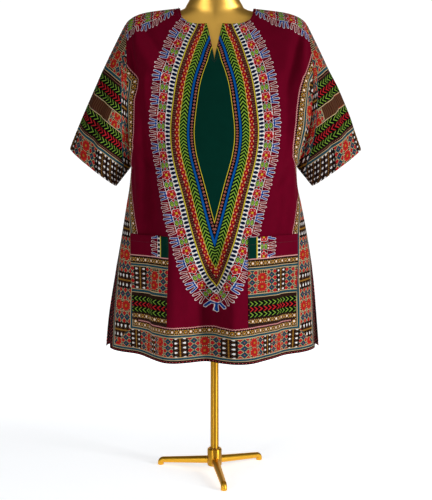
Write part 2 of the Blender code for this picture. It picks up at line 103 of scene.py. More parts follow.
# How far out the armhole seam lies, by height.
armhole = {
    "z": (0.842, 0.900, 0.960, 1.020, 1.130, 1.225),
    "left": (0.2225, 0.2240, 0.2265, 0.2270, 0.2285, 0.2331),
    "right": (0.2190, 0.2350, 0.2500, 0.2550, 0.2530, 0.2411),
}

# The largest folds, the same as the solids have.
folds = {
    "front": {
        "atLow": (-0.118, -0.026, 0.082, -0.235, 0.215, -0.160),
        "atHigh": (-0.075, -0.012, 0.055, -0.170, 0.170, -0.130),
        "width": (0.046, 0.040, 0.046, 0.046, 0.046, 0.030),
        "out": (0.027, -0.032, 0.025, -0.020, -0.018, -0.006),
        "zLow": (0.330, 0.330, 0.330, 0.330, 0.330, 0.640),
        "zHigh": (0.760, 0.720, 0.780, 0.860, 0.860, 1.120),
    },
    "back": {
        "atLow": (-0.170, -0.085, 0.010, 0.095, 0.185),
        "atHigh": (-0.120, -0.050, 0.000, 0.060, 0.130),
        "width": (0.042, 0.040, 0.046, 0.038, 0.044),
        "out": (0.016, -0.018, 0.019, -0.016, 0.015),
        "zLow": (0.330, 0.330, 0.330, 0.330, 0.330),
        "zHigh": (0.800, 0.880, 0.820, 0.900, 0.780),
    },
}


def eased(table, column, at):
    # cubic through the table's points, with the slopes of its own gradient
    x, y = np.array(table["z"], float), np.array(table[column], float)
    slope = np.gradient(y, x)
    at = np.clip(at, x[0], x[-1])
    k = np.clip(np.searchsorted(x, at) - 1, 0, len(x) - 2)
    step = x[k + 1] - x[k]
    t = (at - x[k]) / step
    start = y[k] * (1 + 2 * t) * (1 - t) ** 2 + slope[k] * step * t * (1 - t) ** 2
    return start + y[k + 1] * t * t * (3 - 2 * t) + slope[k + 1] * step * t * t * (t - 1)


def smoothStep(low, high, value):
    # from 0 at low to 1 at high by t * t * (3 - 2 * t)
    t = np.clip((value - low) / (high - low), 0, 1)
    return t * t * (3 - 2 * t)


def foldHeight(face, along, z):
    # sum over the folds of out * fade(z) * exp(-((along - middle(z)) / width) ** 2)
    total = np.zeros_like(along)
    rows = zip(*(folds[face][key] for key in ("atLow", "atHigh", "width", "out", "zLow", "zHigh")))
    for atLow, atHigh, width, out, zLow, zHigh in rows:
        rise = np.clip((z - zLow) / (zHigh - zLow), 0, 1)
        fade = (1 - smoothStep(0.35, 1.0, rise)) * smoothStep(-0.10, 0.0, z - zLow)
        total += out * fade * np.exp(-(((along - atLow - (atHigh - atLow) * rise) / width) ** 2))
    return total


def shoulderTip(side):
    x = float(eased(armhole, side, armhole["z"][-1]))
    return x, garment["shoulderTopZ"] - garment["shoulderSlope"] * x - garment["tipDrop"]


def armholePoint(face, side, rise):
    # y = sideY +- depth * (1 - |2 rise - 1| ** square) ** (1 / square), x from the table at z
    g = garment
    z = g["underarmZ"] + (shoulderTip(side)[1] - g["underarmZ"]) * rise
    bow = np.maximum(1 - np.abs(2 * rise - 1) ** g["armholeSquare"], 0) ** (1 / g["armholeSquare"])
    return eased(armhole, side, z), g["sideY"] + sign[face] * g["armholeDepth"][face] * bow, z


def rowTable(face, side):
    # Dense rows from the centre line to the side edge: level 0 is the hem, 1 the underarm and 2 the
    # shoulder. A low row is a quarter of a super-ellipse, y = middle + (edge - middle) * (1 - (1 -
    # across ** n) ** (1 / n)); a high row blends from that to (edge - middle) * across ** power.
    g = garment
    across = np.sin(np.linspace(0, math.pi / 2, g["denseColumns"]))[None, :]

    level = np.linspace(0, 1, g["denseRows"][0])[:-1, None]
    edgeZ = g["hemSideZ"] + (g["underarmZ"] - g["hemSideZ"]) * level
    middleZ = g["hemMiddleZ"] + (g["underarmZ"] - g["hemMiddleZ"]) * level
    openVent = np.clip((g["ventTopZ"] - edgeZ) / (g["ventTopZ"] - g["hemSideZ"]), 0, 1)
    edgeX = eased(body, side, edgeZ)
    edgeY = g["sideY"] + g["ventBackY"] * openVent
    if face == "front":
        edgeX = edgeX - g["ventFrontIn"] * openVent
        edgeY = g["sideY"] - g["ventFrontY"] * openVent
    middleY = sign[face] * eased(body, face, edgeZ)
    square = eased(body, face + "Square", edgeZ)
    lowY = middleY + (edgeY - middleY) * (1 - np.maximum(1 - across**square, 0) ** (1 / square))
    low = edgeX * across, lowY, middleZ + (edgeZ - middleZ) * across**2

    rise = np.sin(np.linspace(0, math.pi / 2, g["denseRows"][1]))[:, None]
    edgeX, edgeY, edgeZ = armholePoint(face, side, rise)
    middleZ = g["underarmZ"] + (g["shoulderTopZ"] - g["underarmZ"]) * rise
    power = g["chestSquare"][face]
    curve = np.maximum(1 - rise**power, 0) ** (1 / power)
    middleY = g["sideY"] + (sign[face] * eased(body, face, g["underarmZ"]) - g["sideY"]) * curve
    square = body[face + "Square"][-1]
    roundEdge = 1 - np.maximum(1 - across**square, 0) ** (1 / square)
    blend = smoothStep(0, g["chestBlend"], rise)
    tuck = g["armTuck"][0] + g["armTuck"][1] * (1 - blend) ** 2
    lowY = middleY + (g["sideY"] - middleY) * roundEdge + (edgeY - g["sideY"]) * across**tuck
    power = g["shoulderPower"][0] - g["shoulderPower"][1] * rise
    highY = middleY + (edgeY - middleY) * across**power
    slope = g["shoulderSlope"] * shoulderTip(side)[0]
    shoulder = (slope * across + g["tipDrop"] * across ** g["tipPower"]) / (slope + g["tipDrop"])
    lift = across**2 * (1 - rise) + shoulder * rise
    high = edgeX * across, lowY * (1 - blend) + highY * blend, middleZ + (edgeZ - middleZ) * lift

    x, y, z = (np.concatenate(pair) for pair in zip(low, high))
    levels = np.concatenate([level[:, 0], 1 + rise[:, 0]])
    steps = np.sqrt(np.diff(x) ** 2 + np.diff(y) ** 2 + np.diff(z) ** 2)
    along = np.concatenate([np.zeros((len(levels), 1)), np.cumsum(steps, axis=1)], axis=1)
    share = along / along[:, -1:]
    out = foldHeight(face, sign[side] * along, z) * (1 - smoothStep(*g["foldSideFade"], share))
    out *= 1 - smoothStep(*g["foldRiseFade"], levels[:, None] - 1)
    run = np.hypot(np.gradient(x, axis=1), np.gradient(y, axis=1))
    normalX = -sign[face] * np.gradient(y, axis=1) / run
    normalY = sign[face] * np.gradient(x, axis=1) / run
    normalX[:, 0], normalY[:, 0] = 0, sign[face]
    x, y = x + out * normalX, y + out * normalY

    even = np.linspace(0, 1, g["evenColumns"])
    rows = [[np.interp(even, s, values) for values in row] for s, *row in zip(share, x, y, z)]
    return {"level": levels, "length": along[:, -1], "points": np.array(rows).transpose(0, 2, 1)}


def readGrid(values, row, column):
    # values at fractional rows and columns, mixed from their four neighbours
    r = np.clip(np.asarray(row, float), 0, values.shape[0] - 1)
    c = np.clip(np.asarray(column, float), 0, values.shape[1] - 1)
    r0 = np.minimum(r.astype(int), values.shape[0] - 2)
    c0 = np.minimum(c.astype(int), values.shape[1] - 2)
    fr, fc = (r - r0)[..., None], (c - c0)[..., None]
    near = values[r0, c0] * (1 - fc) + values[r0, c0 + 1] * fc
    far = values[r0 + 1, c0] * (1 - fc) + values[r0 + 1, c0 + 1] * fc
    return near * (1 - fr) + far * fr


def columnShares(side, level, length):
    # three runs of columns: to the pocket's inner edge, which climbs to the neck's corner, across the
    # pocket, and on to the side edge
    g = garment
    inner, outer = (edge / length for edge in g["pocket"][side])
    pocketLevel = (g["pocketTopZ"] - g["hemSideZ"]) / (g["underarmZ"] - g["hemSideZ"])
    climb = smoothStep(pocketLevel, g["columnClimb"], level)
    neck = g["neckHalf"][side] / shoulderTip(side)[0]
    inner = inner + (neck - inner) * climb
    outer = outer + ((1 + neck) / 2 - outer) * climb
    one, two, three = (np.linspace(0, 1, count + 1)[None, :] for count in g["columns"])
    first = inner * (one * (1 - climb) + np.sin(one * math.pi / 2) * climb)
    second = inner + (outer - inner) * two[:, 1:]
    closer = 1 - (1 - three[:, 1:]) ** g["columnCrowd"]
    return np.concatenate([first, second, outer + (1 - outer) * closer], axis=1)


def rowLevels():
    # even runs up to the underarm, then (1 - cos) / 2, with one row moved to the slit's foot
    g = garment
    spans = (g["hemSideZ"], g["pocketBottomZ"], g["ventTopZ"], g["pocketTopZ"], g["underarmZ"])
    runs = [np.linspace(a, b, n + 1)[:-1] for a, b, n in zip(spans, spans[1:], g["lowRows"])]
    low = (np.concatenate(runs) - g["hemSideZ"]) / (g["underarmZ"] - g["hemSideZ"])
    high = (1 - np.cos(np.linspace(0, math.pi, g["highRows"] + 1))) / 2
    high[np.abs(high - g["slitFoot"]).argmin()] = g["slitFoot"]
    return np.concatenate([low, 1 + high])


# Soft creases, in millimetres: from (u, v), to (u, v), width, height and sideways bow.
creases = {
    "front": (
        (-226, 955, -207, 690, 10.5, -15, 0), (-267, 938, -117, 703, 25, 21.5, 2),
        (-230, 950, -88, 706, 13, -6, 2), (-179, 765, -184, 600, 11, 8.5, 2),
        (-187, 730, -188, 480, 11, -7.8, 0), (-226, 600, -206, 310, 16, 9, -6),
        (-184, 580, -168, 310, 16, -11.5, -4), (-138, 520, -112, 300, 17, 10.5, 4),
        (-232, 570, -132, 470, 10, -4.6, 8), (-76, 560, -64, 330, 14, -4.4, 4),
        (205, 940, 186, 690, 40, 8, 0), (232, 900, 184, 680, 9.5, -9, 3),
        (252, 890, 220, 710, 13, 11, 4), (188, 760, 190, 500, 15, -8.5, -3),
        (238, 800, 236, 540, 30, 13.5, 0), (158, 740, 162, 480, 15, 5, 3),
        (190, 500, 172, 300, 11, -4.4, 4), (226, 540, 148, 430, 10, -4.4, -8),
        (232, 500, 206, 300, 12, 5.2, -4), (4, 340, -2, -20, 15, -10, 4),
        (44, 330, 46, -20, 14, 12.5, -3), (84, 300, 86, -20, 17, -6, -2),
        (-84, 340, -76, -10, 15, -5.6, 3), (110, 250, 122, 0, 15, -5.6, 4),
        (168, 270, 182, 5, 15, 5.6, 5), (-190, 300, -196, 10, 15, -6, -3),
        (-150, 260, -160, 0, 13, 5, 3), (246, 240, 264, 10, 13, 5.4, 3),
        (-60, 860, -128, 700, 13, 3, 4), (64, 850, 128, 690, 13, 3.4, -4),
    ),
    "back": (
        (-160, 700, -172, 300, 16, -7.4, 6), (-128, 680, -120, 380, 13, 5.6, 5),
        (148, 705, 158, 340, 15, -7.1, -6), (186, 690, 196, 400, 12, 5.3, -4),
        (-218, 555, -132, 455, 10, -5.9, 7), (214, 560, 120, 455, 9.5, -6.2, -8),
        (216, 515, 150, 420, 8.5, 4.3, -5), (-30, 330, -40, 10, 16, 5.6, 5),
        (60, 280, 64, 10, 15, -5, -3), (150, 300, 166, 20, 15, 4.7, 4),
        (-216, 290, -236, 10, 14, 5.3, -4), (-50, 640, 40, 600, 13, -2.8, 6),
        (-90, 470, 10, 430, 12, -3.4, 6), (90, 480, 14, 420, 11, 3.1, 4),
    ),
    "sleeve_left": (
        (40, 255, 75, 30, 13, 5.6, 4), (86, 200, 100, 0, 12, -6.5, -4), (135, 130, 128, 5, 12, 5.6, 3),
        (16, 200, 28, 20, 11, -4.3, 3), (-46, 250, -70, 30, 13, 5.3, -4),
        (-92, 190, -104, 5, 12, -6.2, 4), (-140, 120, -130, 0, 12, 5, -3),
    ),
    "sleeve_right": (
        (52, 250, 60, 20, 12, -5.6, 4), (84, 210, 96, 10, 12, 5.9, -4), (126, 140, 140, 0, 12, -6.2, 4),
        (20, 220, 18, 30, 12, 4, 3), (-42, 240, -58, 20, 12, -5.3, -4),
        (-80, 200, -100, 10, 13, 5.9, 4), (-128, 130, -134, 0, 12, -5.6, -3),
    ),
}

creaseEase = {
    "start": (-0.08, 0.30),  # a crease deepens and fades over these shares of its length
    "end": (0.62, 1.08),
    "seam": (0.004, 0.030),  # and over these distances from a seam
    "grooveDepth": 0.0008,
    "grooveWidth": 0.0030,
}


def creaseHeight(name, u, v):
    # sum of depth * window(t) * exp(-(distance / width) ** 2) over lines from one flat point to
    # another, each bowed sideways by 4 bow t (1 - t)
    total = np.zeros_like(u)
    for fromU, fromV, toU, toV, width, depth, bow in np.array(creases[name]) / 1000:
        du, dv = toU - fromU, toV - fromV
        run = math.hypot(du, dv)
        t = ((u - fromU) * du + (v - fromV) * dv) / run**2
        away = ((u - fromU) * dv - (v - fromV) * du) / run - bow * 4 * t * (1 - t)
        window = smoothStep(*creaseEase["start"], t) * (1 - smoothStep(*creaseEase["end"], t))
        total += depth * window * np.exp(-((away / width) ** 2))
    return total


def cells(numbers, flip=False):
    # the four-sided faces of a grid of point numbers
    quads = np.stack([numbers[:-1, :-1], numbers[:-1, 1:], numbers[1:, 1:], numbers[1:, :-1]], -1)
    quads = quads.reshape(-1, 4)
    return quads[:, ::-1] if flip else quads


def unit(vectors):
    return vectors / np.maximum(np.linalg.norm(vectors, axis=-1, keepdims=True), 1e-12)


def vertexNormals(points, quads):
    # the crossed diagonals of all the quads at a point, added up
    a, b, c, d = points[quads.T]
    face = np.cross(c - a, d - b)
    total = np.zeros_like(points)
    for corner in range(4):
        np.add.at(total, quads[:, corner], face)
    return unit(total)


def halfPanel(face, side):
    # points, and the cloth's own coordinates: u out from the centre line, v up from the hem, and the
    # distance down from the shoulder line
    g = garment
    table = rowTable(face, side)
    level = rowLevels()[:, None]
    length = np.interp(level, table["level"], table["length"])
    share = columnShares(side, level, length)
    top = columnShares(side, np.array([[2.0]]), 1.0)
    neckColumn = g["columns"][0]
    reach = np.minimum(top / top[:, neckColumn : neckColumn + 1], 1)
    neck = 1 - g["neckDrop"][face] * (1 - reach ** g["neckSquare"]) ** (1 / g["neckSquare"])
    rise = np.maximum(level - 1, 0)
    here = np.where(level > 1, 1 + rise * (1 - (1 - neck) * rise**2), level)
    u = share * np.interp(here, table["level"], table["length"])
    if face == "front":
        start = g["slitTopHalf"] * np.clip((rise - g["slitFoot"]) / (1 - g["slitFoot"]), 0, 1)
        start = start / shoulderTip(side)[0]
        spread = start + share * (1 - start / share[:, neckColumn : neckColumn + 1])
        share = np.where(np.arange(share.shape[1]) < neckColumn, spread, share)
    row = np.interp(here, table["level"], np.arange(len(table["level"])))
    points = readGrid(table["points"], row, share * (g["evenColumns"] - 1))
    points[..., 0] *= sign[side]
    steps = np.linalg.norm(np.diff(points, axis=0), axis=2)
    v = np.concatenate([np.zeros((1, points.shape[1])), np.cumsum(steps, axis=0)])
    topV = np.where(np.arange(v.shape[1]) < neckColumn, v[-1, neckColumn], v[-1])
    down = topV - v
    ventLevel = (g["ventTopZ"] - g["hemSideZ"]) / (g["underarmZ"] - g["hemSideZ"])
    toSide = (1 - share) * np.interp(here, table["level"], table["length"])
    toSide = np.hypot(toSide, np.maximum(ventLevel - level, 0) * (g["underarmZ"] - g["hemSideZ"]))
    toShoulder = np.hypot(np.maximum(u[-1, neckColumn] - u, 0), down)
    fields = {"u": sign[side] * u, "v": v, "down": down, "seam": np.minimum(toSide, toShoulder)}
    return points, fields


def panelSheet(face):
    # both halves, with one column between them up to the slit's foot
    halves = {side: halfPanel(face, side) for side in ("left", "right")}
    rows, columns = halves["left"][0].shape[:2]
    left = np.arange(rows * columns).reshape(rows, columns)
    right = left + rows * columns
    joined = rowLevels() <= (1 + garment["slitFoot"] if face == "front" else 2)
    right[joined, 0] = left[joined, 0]
    flip = face == "back"
    quads = [cells(left[:, ::-1], flip), cells(right, flip)]
    fields = {}
    for key in halves["left"][1]:
        fields[key] = np.concatenate([halves[side][1][key].ravel() for side in ("left", "right")])
    return {
        "name": face,
        "points": np.concatenate([halves[side][0].reshape(-1, 3) for side in ("left", "right")]),
        "quads": np.concatenate(quads),
        "fields": fields,
        "number": {"left": left, "right": right},
        "slitRow": int(np.argmax(~joined)) - 1,  # the slit's foot, in the front
    }


sleeve = {
    "cuff": {
        "left": {"top": (-0.3863, 0.8908), "bottom": (-0.2629, 0.7908)},
        "right": {"top": (0.3919, 0.8892), "bottom": (0.2610, 0.7910)},
    },
    "cuffHalfDepth": 0.062,
    "arch": 0.006,
    "puff": 0.014,
    "fullness": 0.8,
    "rings": 46,
}


def sleeveSheet(side, panels):
    # straight lines from the armhole to an oval cuff, bowed up by arch * full * cos(turn) and out by
    # puff * full * sin(turn) ** 2, with full = sin(pi * t) ** fullness
    first = sum(garment["lowRows"])
    edge = {face: panels[face]["points"][panels[face]["number"][side][first:, -1]] for face in panels}
    start = np.concatenate([edge["front"][::-1], edge["back"][1:-1]])
    count = len(start)
    turn = np.arange(count) * 2 * math.pi / count
    corner = {k: np.array([x, garment["sideY"], z]) for k, (x, z) in sleeve["cuff"][side].items()}
    centre, reach = (corner["top"] + corner["bottom"]) / 2, (corner["top"] - corner["bottom"]) / 2
    end = centre + np.cos(turn)[:, None] * reach
    end[:, 1] -= np.sin(turn) * sleeve["cuffHalfDepth"]
    t = np.linspace(0, 1, sleeve["rings"] + 1)[:, None]
    points = start + (end - start) * t[..., None]
    full = np.sin(math.pi * t) ** sleeve["fullness"]
    points[..., 0] += sign[side] * sleeve["arch"] * full * np.clip(np.cos(turn), 0, 1)
    points[..., 1] -= sleeve["puff"] * full * np.sin(turn) * np.abs(np.sin(turn))
    upArm = np.cross(reach / np.linalg.norm(reach), [0, 1, 0])
    upArm *= np.sign(upArm[2])
    across = (points - centre) @ upArm
    # s runs round the sleeve from its outer line, forward above zero, w up from the cuff
    closed = np.concatenate([points, points[:, :1]], axis=1)
    step = np.diff(closed, axis=1)
    step = np.sqrt(np.maximum((step**2).sum(axis=2) - (step @ upArm) ** 2, 0))
    s = np.concatenate([np.zeros((len(points), 1)), np.cumsum(step, axis=1)], axis=1)
    s = np.where(np.arange(count) <= count // 2, s[:, :-1], s[:, :-1] - s[:, -1:])
    steps = np.linalg.norm(np.diff(points, axis=0), axis=2)
    toSeam = np.concatenate([np.zeros((1, count)), np.cumsum(steps, axis=0)])
    number = np.arange(points.shape[0] * count).reshape(points.shape[0], count)
    ring = np.hstack([number, number[:, :1]])
    return {
        "name": "sleeve_" + side,
        "points": points.reshape(-1, 3),
        "quads": cells(ring, flip=side == "left"),
        "fields": {"u": s.ravel(), "v": across.ravel(), "seam": toSeam.ravel()},
        "number": number,
    }


def shareSeamNormals(sheets):
    # points that two pieces share get one normal, so that both pieces move and thicken alike there
    for sheet in sheets:
        sheet["normals"] = vertexNormals(sheet["points"], sheet["quads"])
    spots = [np.flatnonzero(sheet["fields"]["seam"] < 1e-5) for sheet in sheets]
    places = np.concatenate([sheet["points"][spot] for sheet, spot in zip(sheets, spots)])
    facing = np.concatenate([sheet["normals"][spot] for sheet, spot in zip(sheets, spots)])
    group = np.unique(np.round(places, 5), axis=0, return_inverse=True)[1].ravel()
    total = np.zeros((group.max() + 1, 3))
    np.add.at(total, group, facing)
    mean = unit(total)[group]
    parts = np.split(mean, np.cumsum([len(spot) for spot in spots])[:-1])
    for sheet, spot, part in zip(sheets, spots, parts):
        sheet["normals"][spot] = part


def drape(sheets):
    # small creases, then a groove along every seam
    for sheet in sheets:
        f = sheet["fields"]
        height = creaseHeight(sheet["name"], f["u"], f["v"])
        height *= smoothStep(*creaseEase["seam"], f["seam"])
        normals = vertexNormals(sheet["points"], sheet["quads"])
        sheet["points"] = sheet["points"] + normals * height[:, None]
    shareSeamNormals(sheets)
    for sheet in sheets:
        near = np.exp(-((sheet["fields"]["seam"] / creaseEase["grooveWidth"]) ** 2))
        groove = (creaseEase["grooveDepth"] * near)[:, None]
        sheet["points"] = sheet["points"] - sheet["normals"] * groove
    shareSeamNormals(sheets)


def edgeFrame(sheet, path, closed=False):
    # along an edge: points, normals and the way into the cloth
    points, normals = sheet["points"][path], sheet["normals"][path]
    before, after = np.roll(points, 1, axis=0), np.roll(points, -1, axis=0)
    if not closed:
        before[0], after[-1] = points[0], points[-1]
    one, two = points - before, after - points
    if not closed:
        one[0], two[-1] = two[0], one[-1]
    return points, normals, unit(np.cross(normals, unit(unit(one) + unit(two))))


def turnUnder(sheet, border, path, radius, bulge=1.0, closed=False):
    # the border cells again, turned over and moved in by twice the radius, joined to the edge by a
    # half round fold; path runs with the cloth on its left when seen from outside
    count = len(sheet["points"])
    points, normals, inward = edgeFrame(sheet, path, closed)
    inward = inward * np.broadcast_to(np.asarray(bulge, float), len(path))[:, None]
    quads = sheet["quads"][border]
    used = np.unique(quads)
    newNumber = np.full(count, -1)
    newNumber[used] = count + np.arange(len(used))
    added = [sheet["points"][used] - sheet["normals"][used] * 2 * radius]
    faces = [newNumber[quads][:, ::-1]]
    run = np.arange(len(path)) if closed else np.arange(len(path) - 1)
    after = (run + 1) % len(path)
    rings = [path]
    for turn in np.radians((40, 90, 140)):
        ring = points - normals * radius * (1 - math.cos(turn))
        added.append(ring - inward * radius * math.sin(turn))
        rings.append(count + len(used) + (len(rings) - 1) * len(path) + np.arange(len(path)))
    rings.append(newNumber[path])
    for one, two in zip(rings, rings[1:]):
        faces.append(np.stack([one[after], one[run], two[run], two[after]], 1))
    sheet["points"] = np.concatenate([sheet["points"], *added])
    sheet["quads"] = np.concatenate([sheet["quads"], *faces])
    sources = np.concatenate([np.arange(count), used, path, path, path])
    sheet["fields"] = {key: field[sources] for key, field in sheet["fields"].items()}
    fresh = vertexNormals(sheet["points"], sheet["quads"])
    onSeam = sheet["fields"]["seam"][:count, None] < 1e-5
    fresh[:count] = np.where(onSeam, sheet["normals"], fresh[:count])
    sheet["normals"] = fresh


def addItem(name, data):
    item = bpy.data.objects.new(name, data)
    bpy.context.scene.collection.objects.link(item)
    return item


def meshObject(name, points, faces, fields, material):
    mesh = bpy.data.meshes.new(name)
    mesh.from_pydata(points.tolist(), [], faces)
    for key, values in fields.items():
        attribute = mesh.attributes.new(key, "FLOAT_VECTOR", "POINT")
        attribute.data.foreach_set("vector", np.ascontiguousarray(values, np.float32).ravel())
    if "cloth" in fields:
        corner = np.empty(len(mesh.loops), np.int32)
        mesh.loops.foreach_get("vertex_index", corner)
        flat = mesh.uv_layers.new(name="flat")
        places = np.ascontiguousarray(fields["cloth"][corner, :2], np.float32)
        flat.data.foreach_set("uv", places.ravel())
    mesh.materials.append(material)
    mesh.shade_smooth()
    mesh.set_sharp_from_angle(angle=math.radians(55))
    item = addItem(name, mesh)
    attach(item, "root")
    return item


def clothObject(sheet, name, wall, material, fields):
    # outer skin, the same skin a wall further in, and a rim along every open edge
    keep, back = np.unique(sheet["quads"], return_inverse=True)
    quads = back.reshape(sheet["quads"].shape)
    points, normals = sheet["points"][keep] + poleAt, sheet["normals"][keep]
    own = vertexNormals(points, quads)
    mitre = 1 / np.maximum((own * normals).sum(axis=1), 0.6)
    inner = points - normals * (wall * mitre)[:, None]
    count = len(points)
    edges = np.concatenate([quads[:, [k, (k + 1) % 4]] for k in range(4)])
    key = edges.min(axis=1) * count + edges.max(axis=1)
    first, times = np.unique(key, return_index=True, return_counts=True)[1:]
    rim = edges[first[times == 1]]
    sides = np.stack([rim[:, 1], rim[:, 0], rim[:, 0] + count, rim[:, 1] + count], 1)
    faces = np.concatenate([quads, quads[:, ::-1] + count, sides])
    doubled = {key: np.tile(values[keep], (2, 1)) for key, values in fields.items()}
    a, b, c, d = points[quads.T]
    area = np.linalg.norm(np.cross(c - a, d - b), axis=1).sum() / 2
    both = np.concatenate([points, inner])
    return meshObject(name, both, faces.tolist(), doubled, material), area


stitch = {
    "length": 0.0029,
    "radius": 0.00036,
    "pitch": 0.0040,
    "ends": (0.7, 0.5),  # clear of the line's two ends, in pitches
    "rings": ((-1.0, 0.35), (-0.72, 1.0), (0.72, 1.0), (1.0, 0.35)),  # way along, share of the radius
    "sides": 5,
    "lift": 0.00012,
    "dip": 0.00022,
}


def stitchObject(name, lines, material):
    # short capsules laid end to end along lines of (points, normals), their ends sunk in the cloth by
    # dip * |way along| ** 4
    middle, along, normal = [], [], []
    for points, normals in lines:
        steps = np.linalg.norm(np.diff(points, axis=0), axis=1)
        reach = np.concatenate([[0], np.cumsum(steps)])
        first, last = (share * stitch["pitch"] for share in stitch["ends"])
        at = np.arange(first, reach[-1] - last, stitch["pitch"])

        def read(values, where):
            return np.stack([np.interp(where, reach, values[:, k]) for k in range(3)], 1)

        start, end = (read(points, at + way * stitch["length"] / 2) for way in (-1, 1))
        middle.append((start + end) / 2)
        along.append((end - start) / 2)
        normal.append(unit(read(normals, at)))
    middle, along, normal = (np.concatenate(values)[:, None] for values in (middle, along, normal))
    side = unit(np.cross(normal, along))
    sides, rings = stitch["sides"], len(stitch["rings"])
    turn = (np.arange(sides) * 2 * math.pi / sides + math.pi / 10)[:, None]
    shape = []
    for t, fat in stitch["rings"]:
        across = stitch["radius"] * fat * (side * np.cos(turn) + normal * np.sin(turn))
        shape.append(middle + along * t + across + normal * (stitch["lift"] - stitch["dip"] * t**4))
    points = np.concatenate(shape, axis=1)
    number = np.arange(rings * sides).reshape(rings, sides)
    offset = np.arange(len(points))[:, None, None] * rings * sides
    quads = (cells(np.hstack([number, number[:, :1]])) + offset).reshape(-1, 4)
    caps = number[[0, -1]] + offset
    caps[:, 0] = caps[:, 0, ::-1]
    faces = quads.tolist() + caps.reshape(-1, sides).tolist()
    return meshObject(name, points.reshape(-1, 3) + poleAt, faces, {}, material)


printLayout = {
    "hemBorder": 0.094,
    # the side borders' inner edges: v up from the hem, and how far out from the centre line
    "sideV": (0.00, 0.10, 0.20, 0.33, 0.374, 0.407, 0.440, 0.474, 0.500, 0.528, 0.556, 0.600, 0.655,
              0.695, 0.722, 0.746, 0.790, 0.830, 0.900),
    "left": (0.229, 0.224, 0.217, 0.219, 0.228, 0.237, 0.249, 0.262, 0.256, 0.241, 0.227, 0.218, 0.216,
             0.213, 0.205, 0.201, 0.231, 0.252, 0.270),
    "right": (0.229, 0.224, 0.217, 0.220, 0.232, 0.246, 0.288, 0.263, 0.244, 0.222, 0.214, 0.211, 0.213,
              0.216, 0.219, 0.224, 0.246, 0.259, 0.275),
    # half of the neck ornament's middle line, from its foot to the neck: (out, height)
    "leaf": (
        (0.000, 0.508), (0.026, 0.530), (0.056, 0.590), (0.084, 0.680), (0.109, 0.775), (0.132, 0.862),
        (0.140, 0.935), (0.133, 1.015), (0.119, 1.095), (0.089, 1.175), (0.052, 1.235), (0.026, 1.290),
    ),
    # how far out the hem's rosettes (every 0.12) and drops (half way) lie
    "hemU": (-0.350, -0.235, -0.183, -0.161, -0.139, -0.085, -0.030, 0.037, 0.103, 0.143, 0.183, 0.235,
             0.350),
    "hemAlong": (-0.420, -0.300, -0.240, -0.180, -0.120, -0.060, 0.000, 0.060, 0.120, 0.180, 0.240,
                 0.300, 0.420),
    "sideRosette": 0.128,
    "sideStretch": 0.88,
    # the shoulder strips' depth by the distance out from the centre line
    "stripAt": (0.106, 0.160, 0.235),
    "stripDepth": (0.040, 0.074, 0.082),
    "stripRing": 0.034,
    "stripFrom": 0.108,
    "stripPeriod": 0.0230,
    "flowerHalf": 0.011,
}


def smoothLine(points, count):
    # Catmull-Rom through the points, starting level as if mirrored there
    p = np.array(points, float)
    p = np.concatenate([p[1:2] * [-1, 1], p, 2 * p[-1:] - p[-2:-1]])
    t = np.linspace(0, len(points) - 1 - 1e-9, count)
    k = t.astype(int)
    f = (t - k)[:, None]
    a, b, c, d = p[k], p[k + 1], p[k + 2], p[k + 3]
    square, cube = 2 * a - 5 * b + 4 * c - d, 3 * b - a - 3 * c + d
    return 0.5 * (2 * b + (c - a) * f + square * f**2 + cube * f**3)


def leafCoordinates(u, v):
    # signed distance out from the leaf's middle line, and the way along it from the foot
    line = smoothLine(printLayout["leaf"], 420)
    line[:, 1] = np.interp(line[:, 1], *heightToV)
    step = np.diff(line, axis=0)
    run = np.linalg.norm(step, axis=1)
    reach = np.concatenate([[0], np.cumsum(run)])
    out, along = np.empty(len(u)), np.empty(len(u))
    at = np.stack([np.abs(u), v], 1)
    for part in np.array_split(np.arange(len(u)), 24):
        way = at[part, None] - line[None, :-1]
        t = np.clip((way * step).sum(axis=2) / run**2, 0, 1)
        gap = way - step * t[..., None]
        distance = np.linalg.norm(gap, axis=2)
        near = distance.argmin(axis=1)
        pick = np.arange(len(part)), near
        crossed = step[near, 0] * way[pick][:, 1] - step[near, 1] * way[pick][:, 0]
        out[part] = distance[pick] * -np.sign(crossed)
        along[part] = reach[near] + t[pick] * run[near]
    return out, along


def panelFields(sheet):
    f, layout = sheet["fields"], printLayout
    inner = [np.interp(f["v"], layout["sideV"], layout[side]) for side in ("left", "right")]
    inner = np.where(f["u"] < 0, *inner)
    out, along = leafCoordinates(f["u"], f["v"])
    # the shoulder strips are the same fans and flowers, hung from the shoulder line
    far, half = np.abs(f["u"]), layout["flowerHalf"]
    strip = layout["stripRing"] - np.interp(far, layout["stripAt"], layout["stripDepth"]) + f["down"]
    strip += np.maximum(layout["stripFrom"] - far, 0) * 4
    strip = np.where(strip < -half, np.mod(strip + half, layout["stripPeriod"]) - half, strip)
    out, along = np.where(strip < out, strip, out), np.where(strip < out, far, along)
    hemAlong = np.interp(f["u"], layout["hemU"], layout["hemAlong"])
    return {
        "cloth": np.stack([f["u"], f["v"], hemAlong], 1),
        "border": np.stack([far - inner, layout["hemBorder"] - f["v"], f["down"]], 1),
        "ornament": np.stack([out, along, np.zeros_like(out)], 1),
    }


panels = {face: panelSheet(face) for face in ("front", "back")}
sleeves = {side: sleeveSheet(side, panels) for side in ("left", "right")}
middle = panels["front"]["number"]["left"][: panels["front"]["slitRow"], 0]
heights, lengths = panels["front"]["points"][middle, 2], panels["front"]["fields"]["v"][middle]
# beside the slit v goes on 1.04 times as fast as the height
heightToV = np.append(heights, heights[-1] + 0.5), np.append(lengths, lengths[-1] + 0.52)
laidOut = [*panels.values(), *sleeves.values()]
drape(laidOut)
print("cloth: laid out", sum(len(sheet["points"]) for sheet in laidOut), "points")


